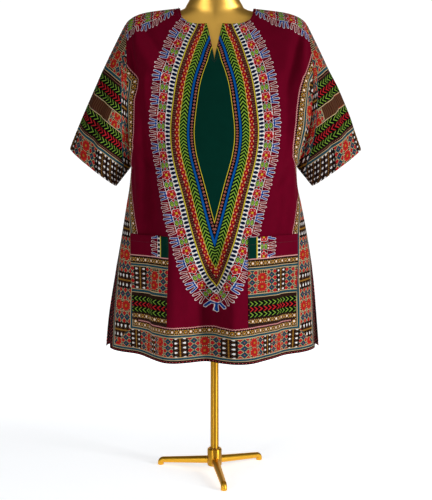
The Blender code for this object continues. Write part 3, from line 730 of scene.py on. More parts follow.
pocket = {
    "wall": 0.0008,
    "lift": 0.0023,
    "mouthGape": 0.0040,
    "mouthFrom": 0.72,
    "mouthPower": 1.5,
    "middleGape": 0.0012,
    "mouthStitch": 0.0180,
    "edgeStitch": 0.0022,
    "foldRadius": 0.00095,
    "foldColumns": 3,
    "foldRows": (3, 6),  # at the foot and at the mouth
}


def pocketSheet(side):
    # a patch of the front's points, moved out by lift + middleGape * bow * sin(pi * down), and at the
    # mouth by mouthGape * bow ** mouthPower more, with bow = sin(pi * across)
    front, g = panels["front"], garment
    rows = slice(g["lowRows"][0], sum(g["lowRows"][:3]) + 1)
    number = front["number"][side][rows, g["columns"][0] : sum(g["columns"][:2]) + 1]
    number = number[:, ::-1] if side == "left" else number
    height, width = number.shape
    down = np.linspace(1, 0, height)[:, None]
    across = np.linspace(0, 1, width)[None, :]
    bow = np.sin(math.pi * across)
    gape = pocket["middleGape"] * bow * np.sin(math.pi * down)
    atMouth = smoothStep(pocket["mouthFrom"], 1.0, 1 - down)
    gape = gape + pocket["mouthGape"] * atMouth * bow ** pocket["mouthPower"]
    points = front["points"][number] + front["normals"][number] * (pocket["lift"] + gape)[..., None]
    fields = {key: front["fields"][key][number].ravel() for key in ("u", "v")}
    fields["seam"] = np.full(number.size, 1.0)
    fields["across"] = np.broadcast_to(across, number.shape).ravel()
    own = np.arange(number.size).reshape(number.shape)
    points, quads = points.reshape(-1, 3), cells(own)
    normals = vertexNormals(points, quads)
    return {"points": points, "normals": normals, "quads": quads, "fields": fields, "number": own}


pockets = {side: pocketSheet(side) for side in ("left", "right")}


sewing = {
    "hemFold": 0.0185,
    "hemStitch": 0.0165,
    "ventFoldColumns": 3,
    "neckFoldRows": 9,
    "neckStitch": 0.0060,
    "slitFoldColumns": 5,
    "slitFullAt": 0.0016,  # the slit's two folds are full this far from the centre line
    "foldRadius": 0.0012,
}


def onLine(sheet, path, offset, closed=False):
    # a line of stitches this far in from an edge
    points, normals, inward = edgeFrame(sheet, path, closed)
    line = points + inward * offset
    if closed:
        line, normals = np.concatenate([line, line[:1]]), np.concatenate([normals, normals[:1]])
    return line, normals


def within(sheet, *blocks):
    # the cells whose four corners are all in these blocks of numbers
    return np.isin(sheet["quads"], np.concatenate([block.ravel() for block in blocks])).all(axis=1)


def finishPanel(sheet, face):
    # hem and vents turned under in one run, then the neck, with the slit in front; gives the lines of
    # stitches
    left, right = sheet["number"]["left"], sheet["number"]["right"]
    vent, neckColumn, top = sum(garment["lowRows"][:2]), garment["columns"][0], len(left) - 1
    low = np.concatenate([left[vent::-1, -1], left[0, -2::-1], right[0, 1:], right[1 : vent + 1, -1]])
    inLow = sheet["fields"]["v"][sheet["quads"]].mean(axis=1) < sewing["hemFold"]
    strip = sewing["ventFoldColumns"]
    inLow |= within(sheet, left[: vent + 1, -strip:], right[: vent + 1, -strip:])
    strip = sewing["neckFoldRows"]
    inHigh = within(sheet, left[-strip:, : neckColumn + 1], right[-strip:, : neckColumn + 1])
    if face == "front":
        foot, strip = sheet["slitRow"], sewing["slitFoldColumns"]
        high = [right[top, neckColumn::-1], right[top - 1 : foot - 1 : -1, 0]]
        high = np.concatenate([*high, left[foot + 1 : top, 0], left[top, : neckColumn + 1]])
        inHigh |= within(sheet, left[foot - 1 :, :strip], right[foot - 1 :, :strip])
        fullness = np.minimum(np.abs(sheet["points"][high, 0]) / sewing["slitFullAt"], 1)
    else:
        low = low[::-1]
        high = np.concatenate([right[top, neckColumn::-1], left[top, 1 : neckColumn + 1]])[::-1]
        fullness = 1.0
    lines = [onLine(sheet, low[::2], sewing["hemStitch"])]
    lines.append(onLine(sheet, high[::2], sewing["neckStitch"]))
    inHigh = np.flatnonzero(inHigh)
    turnUnder(sheet, inLow, low, sewing["foldRadius"])
    turnUnder(sheet, inHigh, high, sewing["foldRadius"], fullness)
    return lines


class Wire:
    # a value in a node tree, so that the print's patterns read as formulas
    def __init__(self, tree, socket):
        self.tree, self.socket = tree, socket

    def __add__(self, other):
        return maths("ADD", self, other)

    __radd__ = __add__

    def __sub__(self, other):
        return maths("SUBTRACT", self, other)

    def __rsub__(self, other):
        return maths("SUBTRACT", other, self)

    def __mul__(self, other):
        return maths("MULTIPLY", self, other)

    __rmul__ = __mul__

    def __truediv__(self, other):
        return maths("DIVIDE", self, other)

    def __lt__(self, other):
        return maths("LESS_THAN", self, other)

    def __gt__(self, other):
        return maths("GREATER_THAN", self, other)

    def __abs__(self):
        return maths("ABSOLUTE", self)


def feed(tree, socket, value):
    if isinstance(value, Wire):
        tree.links.new(value.socket, socket)
    else:
        socket.default_value = (*value, 1) if socket.type == "RGBA" else value


def addNode(tree, kind, inputs, output=0, **settings):
    # one node with its settings, its inputs numbers, colours or wires; gives one output as a wire
    node = tree.nodes.new("ShaderNode" + kind)
    for key, value in settings.items():
        setattr(node, key, value)
    for key, value in inputs.items():
        feed(tree, node.inputs[key], value)
    return Wire(tree, node.outputs[output])


def newMaterial(name, inputs):
    # a material whose shader has these inputs, and its node tree
    material = bpy.data.materials.new(name)
    material.use_nodes = True
    setInputs(material.node_tree, "Principled BSDF", inputs)
    return material


def setInputs(tree, name, inputs):
    for key, value in inputs.items():
        feed(tree, tree.nodes[name].inputs[key], value)


def maths(operation, *values):
    tree = next(value.tree for value in values if isinstance(value, Wire))
    return addNode(tree, "Math", dict(enumerate(values)), operation=operation)


def axes(vector):
    # the three numbers of a vector
    split = addNode(vector.tree, "SeparateXYZ", {0: vector}).socket.node
    return [Wire(vector.tree, output) for output in split.outputs]


def easedStep(value, fromLow, fromHigh, toLow, toHigh):
    # toLow where the value is under fromLow, eased to toHigh at fromHigh
    ends = {"Value": value, "From Min": fromLow, "From Max": fromHigh}
    ends |= {"To Min": toLow, "To Max": toHigh}
    return addNode(value.tree, "MapRange", ends, "Result", interpolation_type="SMOOTHSTEP")


def band(x, low, high):
    # 1 from low to high, 0 outside
    return maths("COMPARE", x, (low + high) / 2, (high - low) / 2)


def repeat(x, period):
    # x from the middle of its period
    return maths("WRAP", x, period / 2, -period / 2)


def mirror(x, half):
    # x there and back between 0 and half
    return maths("PINGPONG", x, half)


def either(a, b):
    return maths("MAXIMUM", a, b)


def odd(x, period):
    # 1 in every second period, 0 in the others
    return mirror(maths("FLOOR", x / period + 0.5), 1.0)


def oval(x, y, a, b):
    # (x / a) ** 2 + (y / b) ** 2 < 1
    x, y = x * (1 / a), y * (1 / b)
    return maths("MULTIPLY_ADD", y, y, x * x) < 1.0


def lozenge(x, y, a, b):
    # |x| / a + |y| / b
    return maths("MULTIPLY_ADD", abs(x), 1 / a, abs(y) * (1 / b))


dye = {
    "ground": (0.122, 0.0008, 0.012),
    "darkGreen": (0.0006, 0.026, 0.017),
    "blue": (0.003, 0.075, 0.300),
    "royal": (0.006, 0.050, 0.250),
    "yellow": (0.600, 0.480, 0.028),
    "gold": (0.420, 0.200, 0.018),
    "red": (0.450, 0.013, 0.018),
    "orangeRed": (0.470, 0.022, 0.016),
    "deepRed": (0.160, 0.003, 0.008),
    "brickRed": (0.210, 0.016, 0.014),
    "lime": (0.260, 0.400, 0.040),
    "green": (0.035, 0.150, 0.018),
    "navy": (0.003, 0.007, 0.030),
    "teal": (0.010, 0.060, 0.088),
    "white": (0.740, 0.700, 0.680),
    "cream": (0.520, 0.390, 0.210),
    "pink": (0.640, 0.300, 0.280),
    "dustPink": (0.340, 0.120, 0.090),
    "brown": (0.052, 0.012, 0.009),
    "earth": (0.085, 0.036, 0.016),
    "darkBrown": (0.020, 0.008, 0.005),
    "black": (0.003, 0.002, 0.003),
}


class Canvas:
    # dyes laid one over another, each where its mask is 1, on the node tree of any wire
    def __init__(self, wire, ground):
        self.tree, self.colour = wire.tree, dye[ground]

    def paint(self, colour, mask):
        top = colour.colour if isinstance(colour, Canvas) else dye[colour]
        layers = {0: mask, 6: self.colour, 7: top}
        self.colour = addNode(self.tree, "Mix", layers, 2, data_type="RGBA")

    def stripes(self, at, *rows):
        # plain bands, each a dye with the wire's values from and to
        for colour, low, high in rows:
            self.paint(colour, band(at, low, high))


def rosette(canvas, x, y, r, petals, flower="orangeRed", ring="deepRed", heart="gold"):
    # radius + 0.09 r cos(petals * angle) below r, with a ring and a heart
    wave = maths("COSINE", maths("ARCTAN2", y, x) * petals) * (0.09 * r)
    reach = maths("SQRT", maths("MULTIPLY_ADD", y, y, x * x)) + wave
    canvas.paint(flower, reach < r)
    canvas.paint(ring, band(reach, r * 0.52, r * 0.64))
    canvas.paint(ring, reach < r * 0.34)
    canvas.paint(heart, reach < r * 0.24)


def chevrons(along, across, height, rows=3, pitch=0.0130):
    # slanting strokes |repeat(along + 1.4 |y|, pitch)| < share of the pitch, y from each row's middle
    c = Canvas(along, "black")
    tall = height / rows
    y = abs(repeat(across - tall / 2, tall))
    t = abs(repeat(along + y * 1.4, pitch))
    inside = y < tall * 0.44
    c.paint("green", (t < pitch * 0.15) * inside)
    c.paint("lime", (t < pitch * 0.08) * inside)
    if rows > 1:
        inside = inside * band(across, tall * (rows // 2), tall * (rows // 2 + 1))
        c.paint("black", inside)
        c.paint("red", (t < pitch * 0.17) * inside)
    return c


def beads(along, y, high=0.0046):
    # ovals every 11.5 mm, gold with white hearts by turns, on brown
    c = Canvas(along, "darkBrown")
    x = repeat(along, 0.0115)
    c.paint("earth", oval(x, y, 0.0053, high * 1.22))
    c.paint("gold", oval(x, y, 0.0040, high))
    c.paint("darkBrown", oval(x, y, 0.0022, high * 0.55))
    c.paint("white", oval(x, y, 0.0022, high * 0.60) * odd(along, 0.0115))
    c.paint("white", oval(x - 0.0005, y - high * 0.2, 0.0009, high * 0.22))
    between = repeat(along + 0.00575, 0.0115)
    c.paint("cream", lozenge(between, abs(y) - high * 0.9, 0.0014, 0.0018) < 1.0)
    return c


def drops(x, across):
    # pairs of white drops on black, their points together at x = 0.008, rows every 12.5 mm
    c = Canvas(x, "black")
    rows = repeat(across, 0.0125)
    c.paint("earth", oval(x, rows, 0.0068, 0.0058))
    c.paint("black", oval(x + 0.0004, rows, 0.0058, 0.0049))
    taper = abs(rows) + x * 0.30
    c.paint("white", oval(x, taper, 0.0042, 0.0023))
    c.paint("earth", x > 0.0078)
    c.paint("gold", (x > 0.0082) * (abs(repeat(across, 0.0041)) < 0.0010))
    return c


def lattice(x, across):
    # teal lozenges 19 by 16.6 mm, cream outlines and small red lozenges where their corners meet
    c = Canvas(x, "darkBrown")
    d = lozenge(repeat(x, 0.0190), repeat(across, 0.0166), 0.0095, 0.0083)
    c.paint("cream", d > 1.06)
    c.paint("deepRed", d > 1.26)
    c.paint("red", d > 1.52)
    c.paint("teal", d < 0.90)
    c.paint("navy", band(d, 0.42, 0.56))
    c.paint("orangeRed", d < 0.20)
    return c


def motifs(along, across):
    # mirrored every 60 mm along: a pair of rosettes, a lattice of lozenges, white drops; across is
    # measured from the band's middle
    x = mirror(along, 0.060)
    c = Canvas(along, "darkBrown")
    c.paint(drops(x - 0.0500, across), x > 0.0425)
    c.paint(lattice(x - 0.0275, across), band(x, 0.0138, 0.0412))
    c.paint("cream", band(x, 0.0128, 0.0140))
    sprinkle = lozenge(repeat(x, 0.0052), repeat(across, 0.0048), 0.0019, 0.0017)
    c.paint("cream", (x < 0.0122) * (sprinkle < 1.0))
    rosette(c, x, abs(across) - 0.0122, 0.0118, 9)
    return c


def borderBands(along, q):
    # bands by the distance q in from the border's inner edge
    c = Canvas(q, "darkBrown")
    c.paint(beads(along, q - 0.0115), band(q, 0.0040, 0.0190))
    c.paint(motifs(along, q - 0.0530), band(q, 0.0280, 0.0780))
    c.stripes(q, ("cream", 0.0186, 0.0204), ("teal", 0.0212, 0.0252), ("cream", 0.0258, 0.0276),
              ("cream", 0.0780, 0.0796), ("teal", 0.0802, 0.0848), ("cream", 0.0852, 0.0866))
    c.paint("black", q > 0.0868)
    shifted = repeat(along + 0.0042 * odd(q, 0.0086), 0.0084)
    dots = lozenge(shifted, repeat(q - 0.0912, 0.0086), 0.0017, 0.0022)
    c.paint("red", (dots < 1.0) * (q > 0.0868))
    c.paint("pink", (dots < 0.4) * (q > 0.0868))
    scallop = maths("MULTIPLY_ADD", abs(repeat(along, 0.0058)), 0.9, q)
    c.paint("ground", q < 0.0036)
    c.paint("pink", band(scallop, 0.0012, 0.0036))
    return c


def fans(canvas, s, d):
    # combs of three spreading prongs every 30 mm, blue and red by turns: with x over 1 + 30 y,
    # |repeat(x, 0.0070)| under a width, each prong ending where y < 0.0235 - 22 x x, joined at the foot
    turn = odd(s, 0.0300)
    x, y = repeat(s, 0.0300), d - 0.0118
    spread = maths("MULTIPLY_ADD", y, 30.0, 1.0)
    near = x / spread
    prong = abs(repeat(near, 0.0070)) * spread
    tip = maths("MULTIPLY_ADD", x, x * 22.0, y) + prong * 1.1
    inside = abs(near) < 0.0096
    canvas.paint("white", (prong < 0.0027) * (tip < 0.0248) * inside)
    canvas.paint("white", (y < 0.0056) * inside)
    ink = (prong < 0.0019) * (tip < 0.0230)
    ink = either(ink, band(y, 0.0008, 0.0046)) * (abs(near) < 0.0089)
    canvas.paint("royal", ink)
    canvas.paint("brickRed", ink * turn)


def flowerRing(s, d):
    # red rosettes and pairs of green leaves by turns, every 25 mm, on a dark ground full of small bits
    c = Canvas(s, "black")
    c.paint("red", lozenge(repeat(s, 0.0072), repeat(d, 0.0080), 0.0018, 0.0022) < 1.0)
    bits = lozenge(repeat(s + 0.0036, 0.0072), repeat(d + 0.0040, 0.0080), 0.0013, 0.0013)
    c.paint("white", bits < 1.0)
    c.paint("white", abs(abs(d) - 0.0112) < 0.0005)
    x = repeat(s, 0.0500)
    rosette(c, x, d, 0.0124, 5, "white", "white", "white")
    rosette(c, x, d, 0.0115, 5, "red", "deepRed", "yellow")
    c.paint("pink", oval(abs(x) - 0.0056, abs(d) - 0.0044, 0.0017, 0.0013))
    x = repeat(s + 0.0250, 0.0500)
    y = abs(d) - 0.0056
    c.paint("white", oval(x, y, 0.0086, 0.0060))
    c.paint("black", oval(x, y, 0.0080, 0.0054))
    c.paint("lime", oval(x, y + 0.0002, 0.0060, 0.0036))
    c.paint("green", oval(x - 0.0014, y + 0.0004, 0.0034, 0.0014))
    c.paint("red", oval(abs(x) - 0.0088, d, 0.0030, 0.0026))
    return c


def teeth(s, y, tall):
    # navy ovals on white, every 11 mm
    c = Canvas(s, "white")
    x = repeat(s, 0.0110)
    c.paint("navy", oval(x, y - tall * 0.50, 0.0040, tall * 0.46))
    c.paint("navy", y < tall * 0.08)
    return c


def leafBands(canvas, s, d):
    # the neck ornament, by the distance d out from its ring of flowers and the way s along it
    lozenges = Canvas(s, "black")
    for colour, a, b in (("dustPink", 0.0036, 0.0038), ("deepRed", 0.0014, 0.0016)):
        lozenges.paint(colour, lozenge(repeat(s, 0.0092), d + 0.0815, a, b) < 1.0)
    herring = Canvas(s, "black")
    y = abs(repeat(d + 0.0596, 0.0186))
    t = abs(repeat(s + y * 1.2, 0.0104))
    herring.paint("green", (t < 0.0026) * (y < 0.0086))
    herring.paint("lime", (t < 0.0013) * (y < 0.0086))
    scallops = Canvas(s, "red")
    x, y = repeat(s, 0.0165), d + 0.0430
    scallops.paint("deepRed", oval(x, y, 0.0070, 0.0052))
    scallops.paint("orangeRed", oval(x, y, 0.0044, 0.0030))
    scallops.paint("yellow", lozenge(x, y, 0.0016, 0.0020) < 1.0)
    between = repeat(s + 0.00825, 0.0165)
    scallops.paint("cream", oval(between, abs(y) - 0.0050, 0.0026, 0.0020))
    inside = Canvas(s, "darkGreen")
    layers = (("yellow", 0.0890), (lozenges, 0.0874), ("blue", 0.0756), ("black", 0.0700),
              (herring, 0.0690), ("yellow", 0.0502), (scallops, 0.0488), ("black", 0.0376),
              ("brown", 0.0366), ("black", 0.0286), ("yellow", 0.0278))
    for colour, depth in layers:
        inside.paint(colour, d > -depth)
    dots = lozenge(repeat(s, 0.0064), abs(d + 0.0325) - 0.0018, 0.0011, 0.0012)
    inside.paint("dustPink", dots < 1.0)
    canvas.paint(flowerRing(s, d), d < 0.0118)
    canvas.paint(teeth(s, d + 0.0250, 0.0140), d < -0.0110)
    canvas.paint(inside, d < -0.0252)


fabric = {
    "shader": {"Roughness": 0.90, "Specular IOR Level": 0.02, "Sheen Weight": 0.005},
    "noise": {"Scale": 38.0, "Detail": 3.0},
    "uneven": (0.30, 0.85),
    "weave": 6980.0,  # radians in a metre, so that the threads are 0.9 mm apart
    "bump": {"Strength": 0.25, "Distance": 0.00006},
}


def fabricMaterial(name, draw, *options):
    # a printed cotton: the drawing * (0.30 * noise + 0.85), matt, with the weave sin(u) * sin(v) as bump
    material = newMaterial(name, fabric["shader"])
    tree = material.node_tree

    def attribute(key):
        return axes(addNode(tree, "Attribute", {}, "Vector", attribute_name=key))

    canvas = draw(attribute, *options)
    u, v = attribute("cloth")[:2]
    place = addNode(tree, "TexCoord", {}, "Object")
    patch = addNode(tree, "TexNoise", {"Vector": place, **fabric["noise"]}, "Fac")
    dyed = {0: canvas.colour, "Scale": maths("MULTIPLY_ADD", patch, *fabric["uneven"])}
    weave = maths("SINE", u * fabric["weave"]) * maths("SINE", v * fabric["weave"])
    setInputs(tree, "Principled BSDF", {
        "Base Color": addNode(tree, "VectorMath", dyed, operation="SCALE"),
        "Normal": addNode(tree, "Bump", {**fabric["bump"], "Height": weave}),
    })
    return material


def drawPanel(attribute):
    # ground, side and hem borders, then the neck ornament and its fans
    v, hemAlong = attribute("cloth")[1:]
    sideIn, hemIn = attribute("border")[:2]
    d, s = attribute("ornament")[:2]
    canvas = Canvas(v, "ground")
    q = either(sideIn, hemIn)
    isHem = hemIn > sideIn
    upSide = (v - printLayout["sideRosette"]) * printLayout["sideStretch"]
    along = upSide + isHem * (hemAlong - upSide)
    canvas.paint(borderBands(along, q), q > 0.0)
    fans(canvas, s, d)
    leafBands(canvas, s, d)
    return canvas


def drawSleeve(attribute):
    # bands by the distance w up from the cuff, s round from the sleeve's outer line
    s, w, seam = attribute("cloth")
    under = abs(s)
    c = Canvas(s, "darkBrown")
    c.paint(motifs(under - 0.082, w - 0.026), w < 0.0530)
    inner = drops(mirror(under - 0.132, 0.0175) - 0.0085, w - 0.026)
    c.paint(inner, (w < 0.0530) * (under > 0.1300))
    c.paint(motifs(under - 0.160, w - 0.1410), band(w, 0.1246, 0.1574))
    c.paint(motifs(under - 0.062, w - 0.2620), w > 0.2340)
    c.stripes(w, ("cream", 0.0525, 0.0541), ("teal", 0.0548, 0.0594), ("cream", 0.0600, 0.0616),
              ("cream", 0.1222, 0.1240), ("cream", 0.1574, 0.1592),
              ("cream", 0.2236, 0.2252), ("teal", 0.2260, 0.2310), ("cream", 0.2318, 0.2334))
    for middle in (0.0655, 0.2180):
        c.paint("dustPink", lozenge(repeat(s, 0.0054), w - middle, 0.0014, 0.0016) < 1.0)
    for low, tall in ((0.0700, 0.0516), (0.1610, 0.0522)):
        c.paint(chevrons(under, w - low, tall), band(w, low, low + tall))
    block = Canvas(s, "cream")
    block.paint("earth", under < 0.1330)
    grain = maths("SINE", s * 900.0 + maths("SINE", w * 240.0) * 0.8)
    block.paint("brown", (grain > 0.35) * (under < 0.1330))
    c.paint(block, band(w, 0.1258, 0.1562) * (under < 0.1350))
    c.paint(motifs(w, seam - 0.0150), (seam < 0.0300) * (under > 0.0900))
    c.paint("teal", band(seam, 0.0305, 0.0340) * (under > 0.0950))
    return c


def drawPocket(attribute, side):
    # bands by the distance b down from the mouth, and a patch of ornament at the top
    x, b = attribute("cloth")[::2]
    c = Canvas(x, "ground")
    fans(c, b + 0.004, x - {"left": 0.0220, "right": 0.0440}[side])
    if side == "right":
        c.paint(flowerRing(b, x - 0.0410), band(x, 0.0300, 0.0520))
    c.paint(teeth(b, x - 0.0235, 0.0090), x < 0.0325)
    c.paint("yellow", x < 0.0240)
    c.paint("darkGreen", x < 0.0212)
    lower = Canvas(x, "darkBrown")
    lower.paint(beads(x, b - 0.0665), band(b, 0.0560, 0.0770))
    lower.paint(motifs(x - 0.0380, b - 0.1160), band(b, 0.0850, 0.1450))
    lower.paint(chevrons(x, b - 0.1640, 0.0432), band(b, 0.1640, 0.2072))
    lower.paint(beads(x, b - 0.2170), b > 0.2085)
    lower.stripes(b, ("pink", 0.0540, 0.0565), ("cream", 0.0760, 0.0776), ("teal", 0.0782, 0.0826),
                  ("cream", 0.0832, 0.0848), ("cream", 0.1450, 0.1466), ("teal", 0.1474, 0.1524),
                  ("cream", 0.1532, 0.1548))
    c.paint(lower, b > 0.0540)
    return c


cotton = {
    "panel": fabricMaterial("printed_cotton_panel", drawPanel),
    "sleeve": fabricMaterial("printed_cotton_sleeve", drawSleeve),
    "pocket_left": fabricMaterial("printed_cotton_pocket_left", drawPocket, "left"),
    "pocket_right": fabricMaterial("printed_cotton_pocket_right", drawPocket, "right"),
}
thread = newMaterial("thread", {"Base Color": (0.05, 0.006, 0.012), "Roughness": 0.85})

clothPieces, stitches = {}, {}


def addCloth(name, sheet, wall, look, fields, lines):
    # one piece of cloth with its stitches
    clothPieces[name], area = clothObject(sheet, "cloth_" + name, wall, look, fields)
    stitches[name] = stitchObject("stitches_" + name, lines, thread)
    faces = len(clothPieces[name].data.polygons)
    print(name, "cloth:", faces, "faces, area", round(area, 4))


for face, sheet in panels.items():
    lines = finishPanel(sheet, face)
    addCloth(face, sheet, garment["wall"], cotton["panel"], panelFields(sheet), lines)

for side, sheet in sleeves.items():
    path = sheet["number"][-1]
    path = path if side == "left" else path[::-1]
    lines = [onLine(sheet, path, sewing["hemStitch"], closed=True)]
    border = sheet["fields"]["v"][sheet["quads"]].mean(axis=1) < sewing["hemFold"]
    turnUnder(sheet, border, path, sewing["foldRadius"], closed=True)
    f = sheet["fields"]
    fields = {"cloth": np.stack([f["u"], f["v"], f["seam"]], 1)}
    addCloth("sleeve_" + side, sheet, garment["wall"], cotton["sleeve"], fields, lines)

for side, sheet in pockets.items():
    name, number, f = "pocket_" + side, sheet["number"], sheet["fields"]
    mouthV = np.interp(f["across"], np.linspace(0, 1, number.shape[1]), f["v"][number[-1]])
    f["down"] = mouthV - f["v"]
    sewn = np.concatenate([number[::-1, 0], number[0, 1:], number[1:, -1]])
    lines = [onLine(sheet, number[-1, ::-1], pocket["mouthStitch"])]
    lines.append(onLine(sheet, sewn, pocket["edgeStitch"]))
    path = np.concatenate([number[0, :-1], number[:-1, -1], number[-1, :0:-1], number[:0:-1, 0]])
    edge, (foot, mouth) = pocket["foldColumns"], pocket["foldRows"]
    blocks = number[:, :edge], number[:, -edge:], number[:foot], number[-mouth:]
    border = np.any([within(sheet, block) for block in blocks], axis=0)
    turnUnder(sheet, border, path, pocket["foldRadius"], closed=True)
    f = sheet["fields"]
    across = np.abs(f["u"]) - garment["pocket"][side][0]
    fields = {"cloth": np.stack([across, f["v"], f["down"]], 1)}
    addCloth(name, sheet, pocket["wall"], cotton[name], fields, lines)

for name, item in clothPieces.items():
    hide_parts(name)


form = {
    "z": (0.470, 0.500, 0.560, 0.640, 0.740, 0.840, 0.920, 1.000, 1.060, 1.110, 1.160, 1.195,
          1.220, 1.236, 1.247, 1.256, 1.266, 1.279, 1.300, 1.345),
    "half": (0.135, 0.150, 0.160, 0.163, 0.148, 0.134, 0.148, 0.164, 0.182, 0.197, 0.204, 0.203,
             0.192, 0.163, 0.114, 0.082, 0.074, 0.0665, 0.0585, 0.0570),
    "front": (0.090, 0.100, 0.108, 0.110, 0.098, 0.094, 0.106, 0.108, 0.101, 0.089, 0.073, 0.060,
              0.0515, 0.0480, 0.0470, 0.0475, 0.0485, 0.0495, 0.051, 0.052),
    "back": (0.082, 0.094, 0.100, 0.100, 0.086, 0.082, 0.090, 0.093, 0.091, 0.084, 0.074, 0.064,
             0.0550, 0.0490, 0.0455, 0.0460, 0.0475, 0.049, 0.051, 0.053),
    "square": (2.2, 2.3, 2.3, 2.3, 2.3, 2.3, 2.3, 2.4, 2.3, 2.1, 1.9, 1.65,
               1.4, 1.30, 1.40, 1.60, 1.80, 1.95, 2.0, 2.0),
    "sides": 120,
    "rings": 190,
    "edgeRadius": 0.004,
}

stand = {
    "poleRadius": 0.0113,
    "hubRadius": 0.0198,
    "hubBottomZ": 0.017,
    "hubTopZ": 0.066,
    "hubChamfer": 0.003,
    "hubSunk": 0.0030,
    "hubGap": 0.0002,  # between the hub and the legs
    "legReach": 0.171,
    "legTurn": {"leg_front": 8.8, "leg_right": 128.8, "leg_left": -111.2},  # from -Y towards +X
    "legHubZ": 0.031,
    "legEndZ": 0.0152,
    "legRadius": (0.0108, 0.0084),
    "legSides": 32,
    "footBend": 0.010,
    "footEdge": 0.0008,
}

# colour and roughness of each gilt; the stand's pole and hub (turned) and its legs (bar) share one
# finish, but the turned gilt is painted darker as painted shade against the bright floor they reflect,
# and the bar gilt painted lighter as painted light where the legs' tops reflect the dark sky
giltLookWithPaintedLightAndShade = {
    "form": ((0.93, 0.54, 0.105), 0.42),
    "turned": ((0.63, 0.32, 0.027), 0.42),
    "bar": ((0.80, 0.42, 0.034), 0.36),
}
gilt = {}
for name, (colour, roughness) in giltLookWithPaintedLightAndShade.items():
    polish = {"Base Color": colour, "Roughness": roughness, "Metallic": 1.0}
    gilt[name] = newMaterial("gilt_" + name, polish)

# the pole and the hub are turned: their fine rings stretch each reflection up and down
turned = gilt["turned"].node_tree
around = addNode(turned, "Attribute", {}, "Vector", attribute_name="around")
grooved = {"Anisotropic": 0.90, "Anisotropic Rotation": 0.25, "Tangent": around}
setInputs(turned, "Principled BSDF", grooved)


def tubeObject(name, rings, look):
    # a closed body through rings of points, its two ends filled
    count = len(rings[0])
    points = np.concatenate([*rings, rings[0].mean(axis=0)[None], rings[-1].mean(axis=0)[None]])
    number = np.arange(len(rings) * count).reshape(len(rings), count)
    low, high = np.full(count, len(points) - 2), np.full(count, len(points) - 1)
    ends = [np.stack([low, np.roll(number[0], -1), number[0]], 1)]
    ends.append(np.stack([high, number[-1], np.roll(number[-1], -1)], 1))
    faces = cells(np.hstack([number, number[:, :1]])).tolist() + np.concatenate(ends).tolist()
    fields = {"around": np.cross([0, 0, 1.0], points + 1e-9)} if look == "turned" else {}
    return meshObject(name, points + poleAt, faces, fields, gilt[look])


def circle(sides):
    turn = np.arange(sides) * 2 * math.pi / sides
    return np.cos(turn), np.sin(turn)


def formRings():
    # super-ellipses by the table, with a small round at both ends: each ring's height, how much
    # less it reaches, and its share of the rest
    low, high, r = form["z"][0], form["z"][-1], form["edgeRadius"]
    bend = np.linspace(0, math.pi / 2, 6)
    foot = [(low + r * (1 - math.sin(a)), r * (1 - math.cos(a)), 1.0) for a in bend[::-1]]
    head = [(high - r * (1 - math.sin(a)), r * (1 - math.cos(a)), 1.0) for a in bend]
    trunk = [(z, 0.0, 1.0) for z in np.linspace(low + r, high - r, form["rings"])[1:-1]]
    caps = [(low, r, 0.4), (low, r, 0.8)], [(high, r, 0.8), (high, r, 0.4)]
    c, s = circle(form["sides"])
    rings = []
    for z, less, share in (*caps[0], *foot, *trunk, *head, *caps[1]):
        keys = ("half", "front", "back", "square")
        half, front, back, square = (float(eased(form, key, z)) for key in keys)
        x = (half - less) * share * np.sign(c) * np.abs(c) ** (2 / square)
        y = (np.where(s < 0, front, back) - less) * share * np.sign(s) * np.abs(s) ** (2 / square)
        rings.append(np.stack([x, garment["sideY"] + y, np.full(len(c), z)], 1))
    return rings


def latheRings(profile, sides):
    c, s = circle(sides)
    return [np.stack([r * c, r * s, np.full(sides, z)], 1) for r, z in profile]


def legRings(name):
    # a round bar out from the hub and down, bent at its end to stand on the floor; each ring is its
    # way out, to the side and up
    d = stand
    c, s = circle(d["legSides"])
    thick, thin = d["legRadius"]
    straight = d["legReach"] - thin - d["footBend"]
    fall = math.atan2(d["legHubZ"] - d["legEndZ"], straight - d["hubRadius"])
    rings = []
    for inset in (0.3, 0.7, 1.0):
        side = inset * thick * c
        wall = np.sqrt((d["hubRadius"] + d["hubGap"]) ** 2 - side**2)
        rings.append((wall, side, d["legHubZ"] + inset * thick * s * math.cos(fall)))
    for t in np.linspace(0, 1, 14)[1:]:
        radius = thick + (thin - thick) * t
        reach = d["hubRadius"] + (straight - d["hubRadius"]) * t + radius * s * math.sin(fall)
        z = d["legHubZ"] + (d["legEndZ"] - d["legHubZ"]) * t
        rings.append((reach, radius * c, z + radius * s * math.cos(fall)))
    foot = d["legReach"] - thin
    for bend in np.radians(np.linspace(12, 90, 9)):
        reach = foot - d["footBend"] * (1 - math.sin(bend))
        z = d["legEndZ"] - d["footBend"] * (1 - math.cos(bend))
        rings.append((reach + thin * s * math.sin(bend), thin * c, z + thin * s * math.cos(bend)))
    edge = d["footEdge"]
    for z, fat in ((edge, 1.0), (0.0, 1 - edge / thin), (0.0, 0.5)):
        rings.append((foot + thin * s * fat, thin * c * fat, np.full(len(c), z)))
    heading = math.radians(d["legTurn"][name])
    outWay = (math.sin(heading), -math.cos(heading), 0.0)
    sideWay = (math.cos(heading), math.sin(heading), 0.0)
    ways = np.array([outWay, sideWay, (0.0, 0.0, 1.0)])
    return [np.stack(ring, 1) @ ways for ring in rings]


def poleProfile():
    # a plain round bar from just over the hub to just under the form
    r, low, high = stand["poleRadius"], stand["hubTopZ"] + 0.0004, form["z"][0] - 0.0003
    return [(r * 0.5, low), (r, low), (r, high), (r * 0.5, high)]


